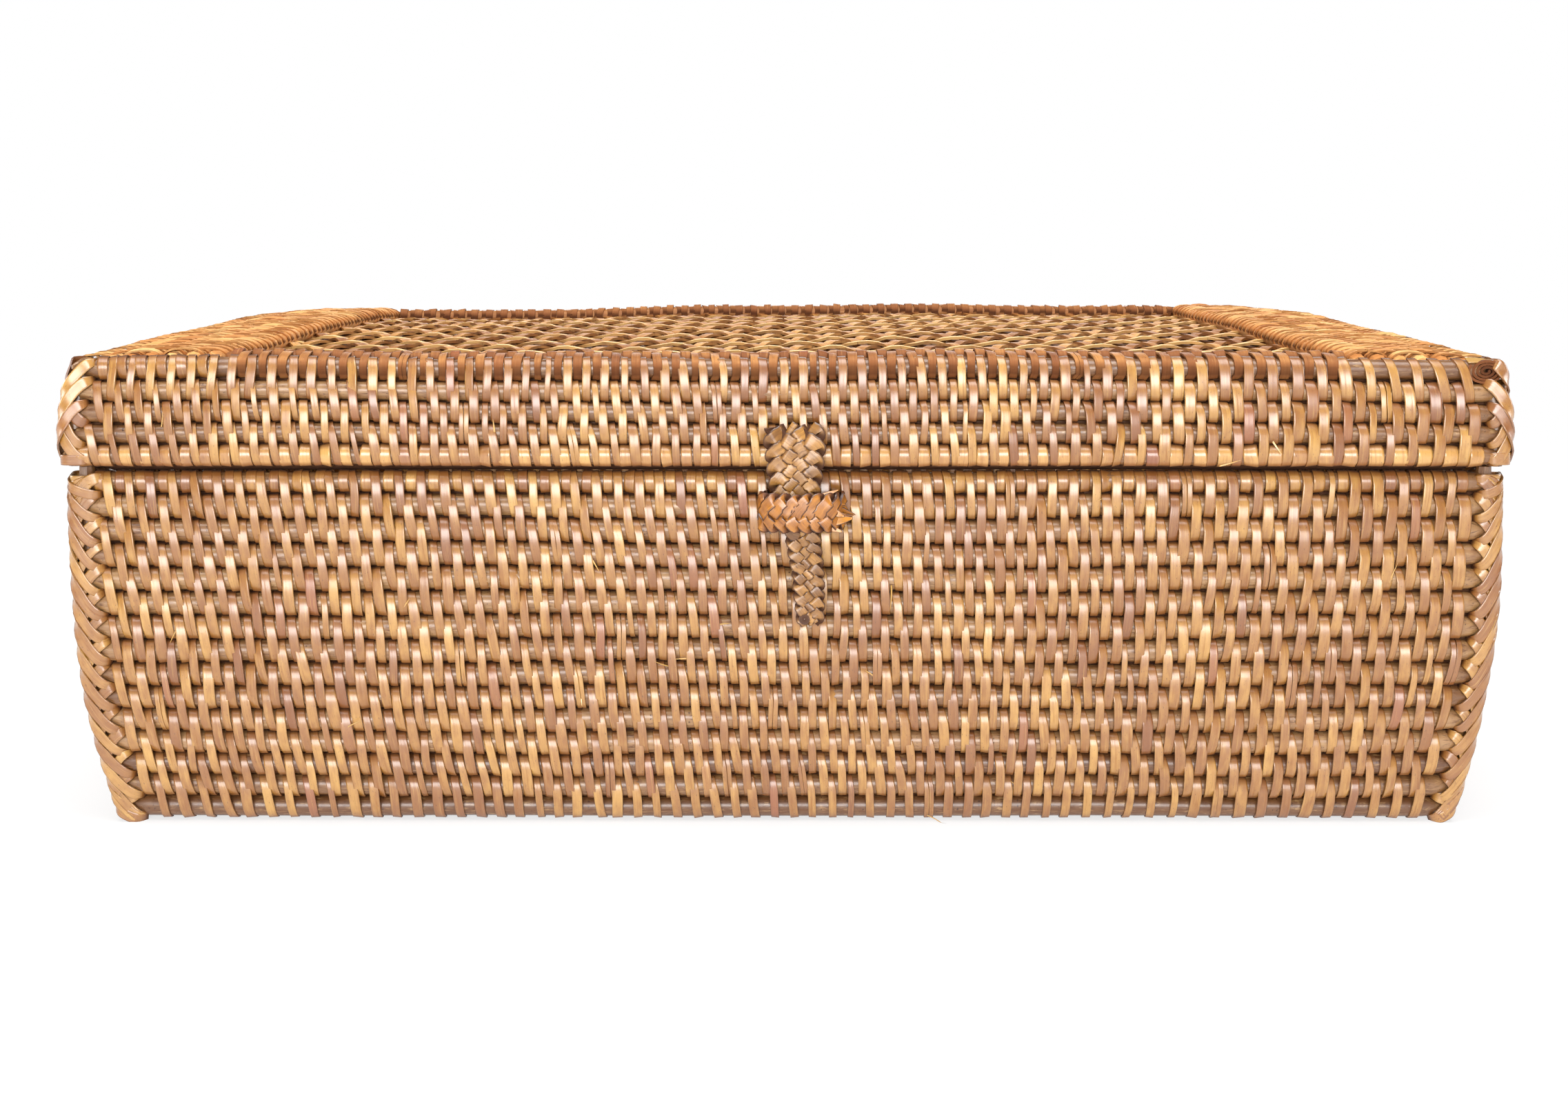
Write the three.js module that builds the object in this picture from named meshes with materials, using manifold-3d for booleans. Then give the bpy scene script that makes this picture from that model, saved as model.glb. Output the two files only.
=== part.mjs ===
// Rattan box with a hinged lid. Walls, lid and floor are rows of cane rods sewn side by side.
// Millimetres, +Z up, front towards -Y. The origin lies on the ground under the middle of the box.
import * as THREE from "three";
import { mergeVertices } from "three/addons/utils/BufferGeometryUtils.js";
import Module from "manifold-3d";

// Whole box
const LID_WIDTH = 358; // over the lid's rim rods, left to right
const LID_DEPTH = 248; // over the lid's rim rods, front to back
const LID_OVERHANG = 1.6; // lid past the body's rim on each side
const FIT = 0.3; // clearance between neighbouring pieces
const SEAM = 0.8; // open line between the lid's rim and the body's
const BEDDING = 0.15; // how far sewn rods press into each other
const ARC_STEPS = 2; // half the number of flats on the round of a rod

// Walls of the body
const BODY_PITCH = 6.14; // from rod to rod
const BODY_ROWS = 14; // rods under the rim rod
const BODY_RIM_RADIUS = 2.9;
const BODY_TAPER = 5; // the lowest rod stands this far inside the rim
const BODY_BULGE = 0.85; // outward belly at half height
const FOOT = 0.3; // lowest wall rods above the ground

// Floor
const FLOOR_RADIUS = 3;
const FLOOR_PITCH = 5.9; // widest spacing of the floor's rods
const FLOOR_WEAR = 0.4; // flat worn on the underside of each floor rod

// Skirt of the lid
const LID_PITCH = 5.2;
const LID_ROWS = 3; // rods between the rim rod and the edge rod
const LID_RIM_RADIUS = 2.6;
const LID_EDGE_RADIUS = 2.6;
const LID_LEAN = 2.4; // the edge rod stands this far inside the rim rod

// Top of the lid
const TOP_RISE = 1.1; // axes of the top rods above the edge rod's
const BAND_RODS = 6; // rods of each side band
const NET_PITCH = 14; // least distance between parallel strips of the openwork
const NET_STRIP = 4.2;
const NET_THICKNESS = 2;
const NET_RISE = 0.6; // middle of the openwork above the axes of the top rods
const NET_BORDER = 3; // least solid edge round the openwork

// Corner lashings
const LASH_THICKNESS = 0.9;
const LASH_WIDE = 8.5; // leg of a lashing at a strip's end
const LASH_NARROW = 6; // leg of a lashing between two strips
const LASH_ROUND = 1.6; // rounding of its outer corner

// Clasp
const CLASP_X = 3; // middle of the tab to the right of the middle of the box
const TAB_HEIGHT = 9.2;
const TAB_WIDTH = 15.2;
const STRAP_THICKNESS = 2.2; // tab, and the tongue where it hangs from it
const TONGUE_LENGTH = 39.5;
const TONGUE_TOP_WIDTH = 12.2;
const TONGUE_LOW_WIDTH = 9.4; // at its neck in the keeper
const TONGUE_NECK = 11; // neck below the seam
const TONGUE_TIP_WIDTH = 7;
const TONGUE_TIP_THICKNESS = 1.6;
const TONGUE_LEAN = 2; // degrees, tip towards the wall
const TONGUE_SLANT = 4; // degrees, tip to the right
const TONGUE_STAND_OFF = 0.4; // strap off the lid's rods
const KEEPER_X = 5.6; // middle of the keeper
const KEEPER_WIDTH = 23;
const KEEPER_HEIGHT = 9.8;
const KEEPER_DROP = 4.8; // its upper edge below the top of the body's rim
const KEEPER_THICKNESS = 1.9;
const KEEPER_FOOT = 2.4; // flat of each foot on the wall
const KEEPER_ROOM = 1.7; // space in front of the hanging tongue

// Hinge loops
const LOOP_X = 96; // middle of each loop from the middle of the box
const LOOP_WIDTH = 10;
const LOOP_THICKNESS = 0.9;

// Derived levels
const bodyRadius = BODY_PITCH / 2 + BEDDING;
const lidRadius = LID_PITCH / 2 + BEDDING;
const bodyInset = (row) => {
  const t = row / BODY_ROWS;
  return BODY_TAPER * t ** 3 - BODY_BULGE * 4 * t * (1 - t);
};
const lidInset = (row) => LID_LEAN * (row / (LID_ROWS + 1)) ** 2;
const rise = (distance, shift) => Math.sqrt(distance ** 2 - shift ** 2);

// Axes of the rods, as x outwards from the middle of the box and y upwards, for the left and right
// sides. The front and back sides have the same section, nearer the middle by `shortening`.
const shortening = (LID_WIDTH - LID_DEPTH) / 2;
const bodyRimOut = LID_WIDTH / 2 - LID_OVERHANG - BODY_RIM_RADIUS;
const bodyWall = [];
for (let row = BODY_ROWS; row >= 1; row--) {
  const below = bodyWall[0];
  const step = below ? rise(BODY_PITCH, bodyInset(row + 1) - bodyInset(row)) : 0;
  const up = below ? below.y + step : FOOT + bodyRadius;
  bodyWall.unshift(new THREE.Vector2(bodyRimOut - bodyInset(row), up));
}
const rimStep = rise(bodyRadius + FIT + BODY_RIM_RADIUS, bodyInset(1));
const bodyRim = new THREE.Vector2(bodyRimOut, bodyWall[0].y + rimStep);
const rimTop = bodyRim.y + BODY_RIM_RADIUS;

const lidRimOut = LID_WIDTH / 2 - LID_RIM_RADIUS;
const lidRim = new THREE.Vector2(lidRimOut, rimTop + SEAM + LID_RIM_RADIUS);
const lidSkirt = [];
for (let row = 1; row <= LID_ROWS; row++) {
  const below = lidSkirt[0] ?? lidRim;
  const distance = row === 1 ? LID_RIM_RADIUS + FIT + lidRadius : LID_PITCH;
  const step = rise(distance, lidInset(row) - lidInset(row - 1));
  lidSkirt.unshift(new THREE.Vector2(lidRimOut - lidInset(row), below.y + step));
}
const edgeInset = lidInset(LID_ROWS + 1);
const edgeStep = rise(lidRadius + FIT + LID_EDGE_RADIUS, edgeInset - lidInset(LID_ROWS));
const lidEdge = new THREE.Vector2(lidRimOut - edgeInset, lidSkirt[0].y + edgeStep);
const topSetIn = rise(LID_EDGE_RADIUS + 2 * FIT + lidRadius, TOP_RISE);
const topRod = new THREE.Vector2(lidEdge.x - topSetIn, lidEdge.y + TOP_RISE);
const bandInner = topRod.x - (BAND_RODS - 1) * LID_PITCH;

const wasm = await Module();
wasm.setup();

function toSolid(geometry) {
  const bare = geometry.clone();
  bare.deleteAttribute("normal");
  bare.deleteAttribute("uv");
  const merged = mergeVertices(bare, 1e-4);
  const vertProperties = new Float32Array(merged.attributes.position.array);
  const triVerts = new Uint32Array(merged.index.array);
  return new wasm.Manifold(new wasm.Mesh({ numProp: 3, vertProperties, triVerts }));
}

function cut(geometry, tools) {
  const solid = tools.reduce((left, tool) => left.subtract(toSolid(tool)), toSolid(geometry));
  const mesh = solid.getMesh();
  const made = new THREE.BufferGeometry();
  made.setAttribute("position", new THREE.BufferAttribute(mesh.vertProperties, 3));
  made.setIndex(new THREE.BufferAttribute(mesh.triVerts, 1));
  return made;
}

const box = new THREE.Group();
const materials = {
  rod: new THREE.MeshStandardMaterial({ color: 0xa8794f }),
  rim: new THREE.MeshStandardMaterial({ color: 0xc08a4c }),
  binding: new THREE.MeshStandardMaterial({ color: 0xd2a86e }),
  openwork: new THREE.MeshStandardMaterial({ color: 0xc49a68 }),
  braid: new THREE.MeshStandardMaterial({ color: 0xcdb06a }),
};

function addPiece(name, geometry, material) {
  const piece = new THREE.Mesh(geometry, materials[material]);
  piece.name = name;
  box.add(piece);
  return piece;
}

// Outline of rods that lie side by side, each bedded into the next. A flat of depth `wear` is taken
// off the side that the row turns to its right.
function rodsOutline(axes, radius, wear = 0) {
  const shape = new THREE.Shape();
  const last = axes.length - 1;
  const notch = (a, b, side) => {
    const along = b.clone().sub(a);
    const half = along.length() / 2;
    const across = new THREE.Vector2(-along.y, along.x).normalize();
    const reach = Math.sqrt(radius ** 2 - half ** 2) * side;
    return a.clone().add(b).multiplyScalar(0.5).addScaledVector(across, reach);
  };
  const angleAt = (axis, point) => point.clone().sub(axis).angle();
  const turn = 2 * Math.PI;
  const arc = (axis, from, to, parts = 1) => {
    const sweep = (turn + ((from - to) % turn)) % turn || turn;
    for (let part = 0; part < parts; part++) {
      const start = from - (sweep * part) / parts;
      shape.absarc(axis.x, axis.y, radius, start, start - sweep / parts, true);
    }
  };
  if (last === 0) {
    arc(axes[0], 0, 0, 3);
    return shape;
  }
  axes.forEach((axis, i) => {
    const before = i === 0 ? notch(axis, axes[1], -1) : notch(axes[i - 1], axis, 1);
    const after = i === last ? notch(axes[i - 1], axis, -1) : notch(axis, axes[i + 1], 1);
    const isEnd = i === 0 || i === last;
    arc(axis, angleAt(axis, before), angleAt(axis, after), isEnd ? 2 : 1);
  });
  for (let i = last - 1; i > 0; i--) {
    const before = angleAt(axes[i], notch(axes[i], axes[i + 1], -1));
    const after = angleAt(axes[i], notch(axes[i - 1], axes[i], -1));
    const open = Math.acos(1 - wear / radius);
    const flat = -Math.PI / 2;
    if (wear > 0) {
      arc(axes[i], before, flat + open);
      arc(axes[i], flat - open, after);
    } else {
      arc(axes[i], before, after);
    }
  }
  return shape;
}

// Extrudes a section of the side at `out`, x outwards and y upwards, along that side. The ends are
// mitred at the corners of the box, or lie at the distances given from the middle of the side.
function sideGeometry(shape, isLong, leftEnd = null, rightEnd = null) {
  const geometry = new THREE.ExtrudeGeometry(shape, {
    depth: 2,
    bevelEnabled: false,
    curveSegments: ARC_STEPS,
  });
  geometry.translate(0, 0, -1);
  const position = geometry.attributes.position;
  const mitre = FIT / Math.SQRT2;
  for (let i = 0; i < position.count; i++) {
    const isLeft = position.getZ(i) > 0;
    const end = isLeft ? leftEnd : rightEnd;
    const out = position.getX(i) + (isLong ? shortening : -shortening) - mitre;
    position.setZ(i, (isLeft ? 1 : -1) * (end ?? out));
  }
  return geometry.rotateX(Math.PI / 2);
}

// The four sides. Each is built as the right side and turned into place; left and right ends are
// those seen by somebody who stands in front of that side.
const sides = [
  { name: "front", turn: -Math.PI / 2, isLong: true },
  { name: "right", turn: 0, isLong: false },
  { name: "back", turn: Math.PI / 2, isLong: true },
  { name: "left", turn: Math.PI, isLong: false },
];

const atSide = (axis, isLong) =>
  new THREE.Vector2(axis.x - (isLong ? shortening : 0), axis.y);

function cylinderAlong(axis, radius, length, middle) {
  const geometry = new THREE.CylinderGeometry(radius, radius, length, 24);
  return geometry.translate(0, middle, 0).translate(axis.x, 0, axis.y);
}

const loopOuter = Math.max(BODY_RIM_RADIUS, LID_RIM_RADIUS) + FIT + LOOP_THICKNESS;
const loopNotches = (axis) =>
  [-LOOP_X, LOOP_X].map((x) =>
    cylinderAlong(atSide(axis, true), loopOuter + FIT, LOOP_WIDTH + 2 * FIT, x),
  );

for (const { name, turn, isLong } of sides) {
  const place = (pieceName, geometry, material) => {
    addPiece(pieceName, geometry, material).rotation.z = turn;
  };
  const rows = (axes, radius) => rodsOutline(axes.map((axis) => atSide(axis, isLong)), radius);
  const wall = sideGeometry(rows(bodyWall, bodyRadius), isLong);
  const skirt = sideGeometry(rows(lidSkirt, lidRadius), isLong);
  const isBack = name === "back";
  place(`body_wall_${name}`, isBack ? cut(wall, loopNotches(bodyRim)) : wall, "rod");
  place(`lid_skirt_${name}`, isBack ? cut(skirt, loopNotches(lidRim)) : skirt, "rod");
  place(`body_rim_${name}`, sideGeometry(rows([bodyRim], BODY_RIM_RADIUS), isLong), "rim");
  place(`lid_rim_${name}`, sideGeometry(rows([lidRim], LID_RIM_RADIUS), isLong), "rim");
  // The right edge rod runs through to the front, where its end shows; the front one stops at it.
  const frontOut = lidEdge.x - shortening;
  const through = name === "right" ? frontOut + LID_EDGE_RADIUS : null;
  const stopped = name === "front" ? lidEdge.x - LID_EDGE_RADIUS - FIT : null;
  const edge = rows([lidEdge], LID_EDGE_RADIUS);
  place(`lid_edge_${name}`, sideGeometry(edge, isLong, through, stopped), "rim");
}

// Top of the lid
const topRodEnd = bandInner - lidRadius - FIT;
const bandEnd = lidEdge.x - shortening - LID_EDGE_RADIUS - FIT;
const bandAxes = [];
for (let rod = 0; rod < BAND_RODS; rod++)
  bandAxes.push(new THREE.Vector2(topRod.x - rod * LID_PITCH, topRod.y));
for (const { name, turn, isLong } of sides) {
  const axes = isLong ? [atSide(topRod, true)] : bandAxes;
  const end = isLong ? topRodEnd : bandEnd;
  const geometry = sideGeometry(rodsOutline(axes, lidRadius), isLong, end, end);
  const pieceName = isLong ? `lid_top_rod_${name}` : `lid_band_${name}`;
  addPiece(pieceName, geometry, "rod").rotation.z = turn;
}

// Openwork: strips that run from front to back and 30 degrees to either side of left-right leave
// six-sided holes, in columns that are half a hole out of step with their neighbours.
const netHalfWidth = bandInner - lidRadius - FIT;
const netHalfDepth = topRod.x - shortening - lidRadius - FIT;
const net = new THREE.Shape();
net.moveTo(-netHalfWidth, -netHalfDepth);
net.lineTo(netHalfWidth, -netHalfDepth);
net.lineTo(netHalfWidth, netHalfDepth);
net.lineTo(-netHalfWidth, netHalfDepth);
net.closePath();
// The pitch grows until the outermost holes reach the border.
const netReach = netHalfWidth - NET_BORDER + NET_STRIP / 2;
const columns = Math.floor(netReach / NET_PITCH - 0.5);
const netPitch = netReach / (columns + 0.5);
const halfStep = netPitch / Math.sqrt(3);
const holeRadius = (netPitch - NET_STRIP) / Math.sqrt(3);
const netRows = Math.floor((netHalfDepth - NET_BORDER - holeRadius) / halfStep);
const stretch = (netHalfDepth - NET_BORDER) / (netRows * halfStep + holeRadius);
for (let column = -columns; column <= columns; column++)
  for (let row = -netRows; row <= netRows; row++) {
    if (Math.abs(row - column) % 2) continue;
    const hole = new THREE.Path();
    for (let corner = 0; corner < 6; corner++) {
      const angle = Math.PI / 6 - (corner * Math.PI) / 3;
      const x = column * netPitch + holeRadius * Math.cos(angle);
      const y = row * halfStep + holeRadius * Math.sin(angle);
      hole[corner ? "lineTo" : "moveTo"](x, y * stretch);
    }
    hole.closePath();
    net.holes.push(hole);
  }
const openwork = new THREE.ExtrudeGeometry(net, { depth: NET_THICKNESS, bevelEnabled: false });
openwork.translate(0, 0, topRod.y + NET_RISE - NET_THICKNESS / 2);
addPiece("lid_openwork", openwork, "openwork");

// Joins rings with equally many points into one closed skin. Each end is closed by a fan from its
// first point.
function skin(rings) {
  const count = rings[0].length;
  const index = [];
  for (let r = 0; r + 1 < rings.length; r++)
    for (let i = 0; i < count; i++) {
      const a = r * count + i;
      const b = r * count + ((i + 1) % count);
      index.push(a, b, b + count, a, b + count, a + count);
    }
  const far = (rings.length - 1) * count;
  for (let i = 1; i + 1 < count; i++) {
    index.push(0, i + 1, i);
    index.push(far, far + i, far + i + 1);
  }
  const geometry = new THREE.BufferGeometry();
  const points = rings.flat().flatMap((p) => [p.x, p.y, p.z]);
  geometry.setAttribute("position", new THREE.Float32BufferAttribute(points, 3));
  return geometry.setIndex(index);
}

// Lashing of one corner, built for the back right corner: an angle that follows the rods' ends, with
// one point on each leg for each strip that crosses the corner.
function lashing(stations) {
  const rings = stations.map(({ out, up, leg }) => {
    const x = out + FIT;
    const y = out - shortening + FIT;
    const t = LASH_THICKNESS;
    const plan = [
      [x, y],
      [x, y + t - leg],
      [x + t, y + t - leg],
      [x + t, y + t - LASH_ROUND],
      [x + t - LASH_ROUND, y + t],
      [x + t - leg, y + t],
      [x + t - leg, y],
    ];
    return plan.map(([px, py]) => new THREE.Vector3(px, py, up));
  });
  return skin(rings);
}

// Stations below each rod, at its axis, and above the last one, from the lowest rod up.
function lashStations(axes, radius) {
  const stations = [];
  axes.forEach((axis, i) => {
    const below = axes[i - 1] ?? { x: axis.x, y: axis.y - 2 * radius };
    const out = (axis.x + below.x) / 2 + radius;
    stations.push({ out, up: (axis.y + below.y) / 2, leg: LASH_NARROW });
    stations.push({ out: axis.x + radius, up: axis.y, leg: LASH_WIDE });
  });
  const top = axes[axes.length - 1];
  stations.push({ out: top.x + radius, up: top.y + radius, leg: LASH_NARROW });
  return stations;
}

const bodyStations = lashStations([...bodyWall].reverse(), bodyRadius);
const lidStations = lashStations([...lidSkirt].reverse(), lidRadius);
const corners = [
  { name: "front_left", flipX: true, flipY: true },
  { name: "front_right", flipX: false, flipY: true },
  { name: "back_left", flipX: true, flipY: false },
  { name: "back_right", flipX: false, flipY: false },
];
for (const { name, flipX, flipY } of corners) {
  const pairs = [
    [`body_lashing_${name}`, bodyStations],
    [`lid_lashing_${name}`, lidStations],
  ];
  for (const [pieceName, stations] of pairs)
    addPiece(pieceName, lashing(stations), "binding").scale.set(flipX ? -1 : 1, flipY ? -1 : 1, 1);
}

// Clasp. The strap's middle plane stands off the lid's front by the clearance and half its thickness.
const lidFront = LID_DEPTH / 2;
const strapY = -(lidFront + TONGUE_STAND_OFF + STRAP_THICKNESS / 2);
const seamZ = rimTop + SEAM / 2;

// Section of the strap at one level: eight points of a flat with chamfered edges.
function strapRing(width, thickness, level) {
  const w = width / 2;
  const t = thickness / 2;
  const chamfer = t * 0.6;
  const plan = [
    [w, -t + chamfer],
    [w, t - chamfer],
    [w - chamfer, t],
    [-w + chamfer, t],
    [-w, t - chamfer],
    [-w, -t + chamfer],
    [-w + chamfer, -t],
    [w - chamfer, -t],
  ];
  return plan.map(([x, y]) => new THREE.Vector3(x, y, level));
}

const tabRings = [
  strapRing(TONGUE_TOP_WIDTH, STRAP_THICKNESS, FIT / 2),
  strapRing(TAB_WIDTH, STRAP_THICKNESS, TAB_HEIGHT * 0.6),
  strapRing(TAB_WIDTH, STRAP_THICKNESS, TAB_HEIGHT * 0.85),
  strapRing(TAB_WIDTH * 0.8, STRAP_THICKNESS * 0.8, TAB_HEIGHT),
];
addPiece("clasp_tab", skin(tabRings), "braid").position.set(CLASP_X, strapY, seamZ);

const neck = TONGUE_NECK / TONGUE_LENGTH;
const tongueAt = (share) => {
  const thickness = THREE.MathUtils.lerp(STRAP_THICKNESS, TONGUE_TIP_THICKNESS, share);
  const width =
    share < neck
      ? THREE.MathUtils.lerp(TONGUE_TOP_WIDTH, TONGUE_LOW_WIDTH, share / neck)
      : THREE.MathUtils.lerp(TONGUE_LOW_WIDTH, TONGUE_TIP_WIDTH, (share - neck) / (1 - neck));
  const tip = TONGUE_TIP_WIDTH / 2 / TONGUE_LENGTH;
  const near = THREE.MathUtils.clamp((share - (1 - tip)) / tip, 0, 1);
  const round = Math.max(0.25, Math.sqrt(1 - near ** 2));
  return strapRing(Math.max(width * round, thickness), thickness, -share * TONGUE_LENGTH);
};
const tipShare = TONGUE_TIP_WIDTH / 2 / TONGUE_LENGTH;
const degrees = THREE.MathUtils.degToRad;
const slantLift = (TONGUE_TOP_WIDTH / 2) * Math.sin(degrees(TONGUE_SLANT));
const leanLift = (STRAP_THICKNESS / 2) * Math.sin(degrees(TONGUE_LEAN));
const startShare = (FIT / 2 + slantLift + leanLift) / TONGUE_LENGTH;
const shares = [1, 1 - tipShare * 0.25, 1 - tipShare, (1 + neck) / 2, neck, startShare];
const tongue = addPiece("clasp_tongue", skin(shares.map(tongueAt)), "braid");
tongue.position.set(CLASP_X, strapY, seamZ);
tongue.rotation.set(degrees(TONGUE_LEAN), -degrees(TONGUE_SLANT), 0);

// Keeper: an arch over the tongue, its feet on the rods of the front wall.
const rowBulge = Math.max(...bodyWall.slice(0, 4).map((axis) => axis.x + bodyRadius));
const bodyFront = Math.max(rowBulge, bodyRim.x + BODY_RIM_RADIUS) - shortening;
const tongueFront = lidFront + TONGUE_STAND_OFF + STRAP_THICKNESS;
const archIn = tongueFront + KEEPER_ROOM - bodyFront - FIT;
const archOut = archIn + KEEPER_THICKNESS;
const half = KEEPER_WIDTH / 2;
const shoulder = half - KEEPER_FOOT;
const keeper = new THREE.Shape();
keeper.moveTo(-half, 0);
keeper.bezierCurveTo(-half, archOut * 0.7, -shoulder - 1, archOut, -shoulder + 2, archOut);
keeper.lineTo(shoulder - 2, archOut);
keeper.bezierCurveTo(shoulder + 1, archOut, half, archOut * 0.7, half, 0);
keeper.lineTo(half - KEEPER_FOOT, 0);
keeper.bezierCurveTo(shoulder, archIn * 0.7, shoulder - 0.4, archIn, shoulder - 2, archIn);
keeper.lineTo(-shoulder + 2, archIn);
keeper.bezierCurveTo(-shoulder + 0.4, archIn, -shoulder, archIn * 0.7, -shoulder, 0);
keeper.closePath();
const keeperGeometry = new THREE.ExtrudeGeometry(keeper, {
  depth: KEEPER_HEIGHT,
  bevelEnabled: false,
  curveSegments: 4,
});
keeperGeometry.rotateZ(Math.PI);
const keeperBottom = rimTop - KEEPER_DROP - KEEPER_HEIGHT;
addPiece("clasp_keeper", keeperGeometry, "braid").position.set(
  KEEPER_X,
  -bodyFront - FIT,
  keeperBottom,
);

// Floor: rods from left to right, closed by the lowest rods of the walls.
const floorRoom = bodyWall[BODY_ROWS - 1].x - bodyRadius - FIT;
const floorHalf = floorRoom - shortening - FLOOR_RADIUS;
const floorSteps = 2 * Math.ceil(floorHalf / FLOOR_PITCH);
const floorAxes = [];
for (let i = 0; i <= floorSteps; i++) {
  const y = floorHalf * (1 - (2 * i) / floorSteps);
  floorAxes.push(new THREE.Vector2(-y, FLOOR_RADIUS - FLOOR_WEAR));
}
const floor = sideGeometry(rodsOutline(floorAxes, FLOOR_RADIUS, FLOOR_WEAR), true, floorRoom, floorRoom);
const ground = new THREE.BoxGeometry(4 * LID_WIDTH, 4 * LID_DEPTH, 10).translate(0, 0, -5);
addPiece("body_floor", cut(floor, [ground]), "rod").rotation.z = -Math.PI / 2;

// Hinge loops round the lid's rim rod and the body's rim rod at the back.
const loopInner = loopOuter - LOOP_THICKNESS;
const low = atSide(bodyRim, true);
const high = atSide(lidRim, true);
const tilt = high.clone().sub(low).angle();
const ring = (path, radius) => {
  path.absarc(high.x, high.y, radius, tilt - Math.PI / 2, tilt + Math.PI / 2, false);
  path.absarc(low.x, low.y, radius, tilt + Math.PI / 2, tilt + (3 * Math.PI) / 2, false);
  return path;
};
const loop = ring(new THREE.Shape(), loopOuter);
loop.holes.push(ring(new THREE.Path(), loopInner));
for (const [name, x] of [
  ["left", -LOOP_X],
  ["right", LOOP_X],
]) {
  const geometry = new THREE.ExtrudeGeometry(loop, {
    depth: LOOP_WIDTH,
    bevelEnabled: false,
    curveSegments: 5,
  });
  geometry.translate(0, 0, -LOOP_WIDTH / 2).rotateX(Math.PI / 2);
  const piece = addPiece(`hinge_loop_${name}`, geometry, "binding");
  piece.rotation.z = Math.PI / 2;
  piece.position.x = x;
}

export default box;
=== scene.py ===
"""Woven lidded box: rods of cane sewn side by side, a lid with an openwork top, a plaited clasp."""

import math

import bmesh
import bpy
import numpy as np
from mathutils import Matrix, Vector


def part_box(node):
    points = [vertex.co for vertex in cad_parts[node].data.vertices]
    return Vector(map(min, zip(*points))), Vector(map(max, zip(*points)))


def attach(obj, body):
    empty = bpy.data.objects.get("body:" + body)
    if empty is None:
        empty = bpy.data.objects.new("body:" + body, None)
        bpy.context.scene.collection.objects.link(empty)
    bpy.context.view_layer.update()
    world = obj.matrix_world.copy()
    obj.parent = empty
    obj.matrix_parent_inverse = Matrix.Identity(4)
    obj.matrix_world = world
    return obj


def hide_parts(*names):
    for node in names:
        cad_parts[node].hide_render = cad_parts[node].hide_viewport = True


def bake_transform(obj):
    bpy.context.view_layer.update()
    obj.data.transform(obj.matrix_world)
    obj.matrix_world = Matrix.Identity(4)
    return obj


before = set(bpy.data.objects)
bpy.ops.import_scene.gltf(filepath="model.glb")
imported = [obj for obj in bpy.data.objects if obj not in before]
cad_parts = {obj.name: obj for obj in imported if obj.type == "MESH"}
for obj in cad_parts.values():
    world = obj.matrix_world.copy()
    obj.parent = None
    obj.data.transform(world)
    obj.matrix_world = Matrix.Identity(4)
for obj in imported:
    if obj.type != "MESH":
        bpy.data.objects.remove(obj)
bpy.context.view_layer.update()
rng = np.random.default_rng(7)

MM = 0.001
EAST, NORTH, UP = np.eye(3)
SOUTH, WEST = -NORTH, -EAST


# ---- sizes, in millimetres
def node_box(node):
    low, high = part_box(node)
    return np.array(low) / MM, np.array(high) / MM


SIDE_DIFFERENCE = 55.0  # the ends stand this much further from the middle than front and back
STRIP = 0.45  # thickness of a sewing strip

BODY_ROWS = 14
BODY_PITCH = 6.14
BODY_TAPER = 5.0
BODY_SWELL = 3.4
BODY_RADIUS = 3.22
RIM_RADIUS = 2.9
LID_RADIUS = 2.75
LID_RIM_RADIUS = 2.6
BODY_ROD, RIM_ROD, LID_ROD, LID_RIM_ROD, EDGE_ROD = 2.82, 2.45, 2.42, 2.4, 2.5  # the bare rods
RIM_DROP, LID_RIM_LIFT = 0.3, 0.25  # the rim rods lie this much further apart than in the solids
LOW_ROD_DROP = 0.06  # and the lowest rod lies this much lower
STITCH_PITCH = 5.4
LID_STITCH_PITCH = 5.1
STITCH_SHARE = 0.43  # a strip's width as a share of the distance to the next one
CORNER_ROOM = 5.0  # bare rod beside a corner, under the lashing


def body_inset(row):
    share = row / BODY_ROWS
    return BODY_TAPER * share**3 - BODY_SWELL * share * (1 - share)


rim_high, wall_low = node_box("body_rim_right")[1], node_box("body_wall_right")[0]
rim_out = rim_high[0] - RIM_RADIUS
rim_z = rim_high[2] - RIM_RADIUS - RIM_DROP

body_out = [rim_out - body_inset(row) for row in range(BODY_ROWS + 1)]
body_z = [0.0] * (BODY_ROWS + 1)
body_z[BODY_ROWS] = wall_low[2] + BODY_RADIUS - LOW_ROD_DROP
for row in range(BODY_ROWS - 1, 0, -1):
    step_out = body_out[row] - body_out[row + 1]
    body_z[row] = body_z[row + 1] + math.sqrt(BODY_PITCH**2 - step_out**2)
body_z[0] = rim_z
body_spots = list(zip(body_out, body_z))
body_rods = [RIM_ROD] + [BODY_ROD] * BODY_ROWS

lid_rim_high, lid_edge_high, band_high = (
    node_box(f"lid_{part}_right")[1] for part in ("rim", "edge", "band"))
lid_rim_out = lid_rim_high[0] - LID_RIM_RADIUS
lid_rim_z = lid_rim_high[2] - LID_RIM_RADIUS + LID_RIM_LIFT
edge_out = lid_edge_high[0] - LID_RIM_RADIUS
edge_z = lid_edge_high[2] - LID_RIM_RADIUS
top_z = band_high[2] - LID_RADIUS
band_out = band_high[0] - LID_RADIUS
SKIRT_ROWS = ((1.35, 111.65), (0.6, 106.51), (0.15, 101.32))  # in from the lid's rim, and up
skirt_spots = [(lid_rim_out - inset, z) for inset, z in SKIRT_ROWS]
lid_spots = [(edge_out, edge_z), *skirt_spots, (lid_rim_out, lid_rim_z)]
BAND_DROPS = (0.8, 0.25, 0, 0, 0, 0)  # how much lower each rod of a band lies, from the outside in
LID_PITCH = 5.2
FLAT_BARE = 0.8  # the ends of the rods on the lid's top, past their sewing


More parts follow.
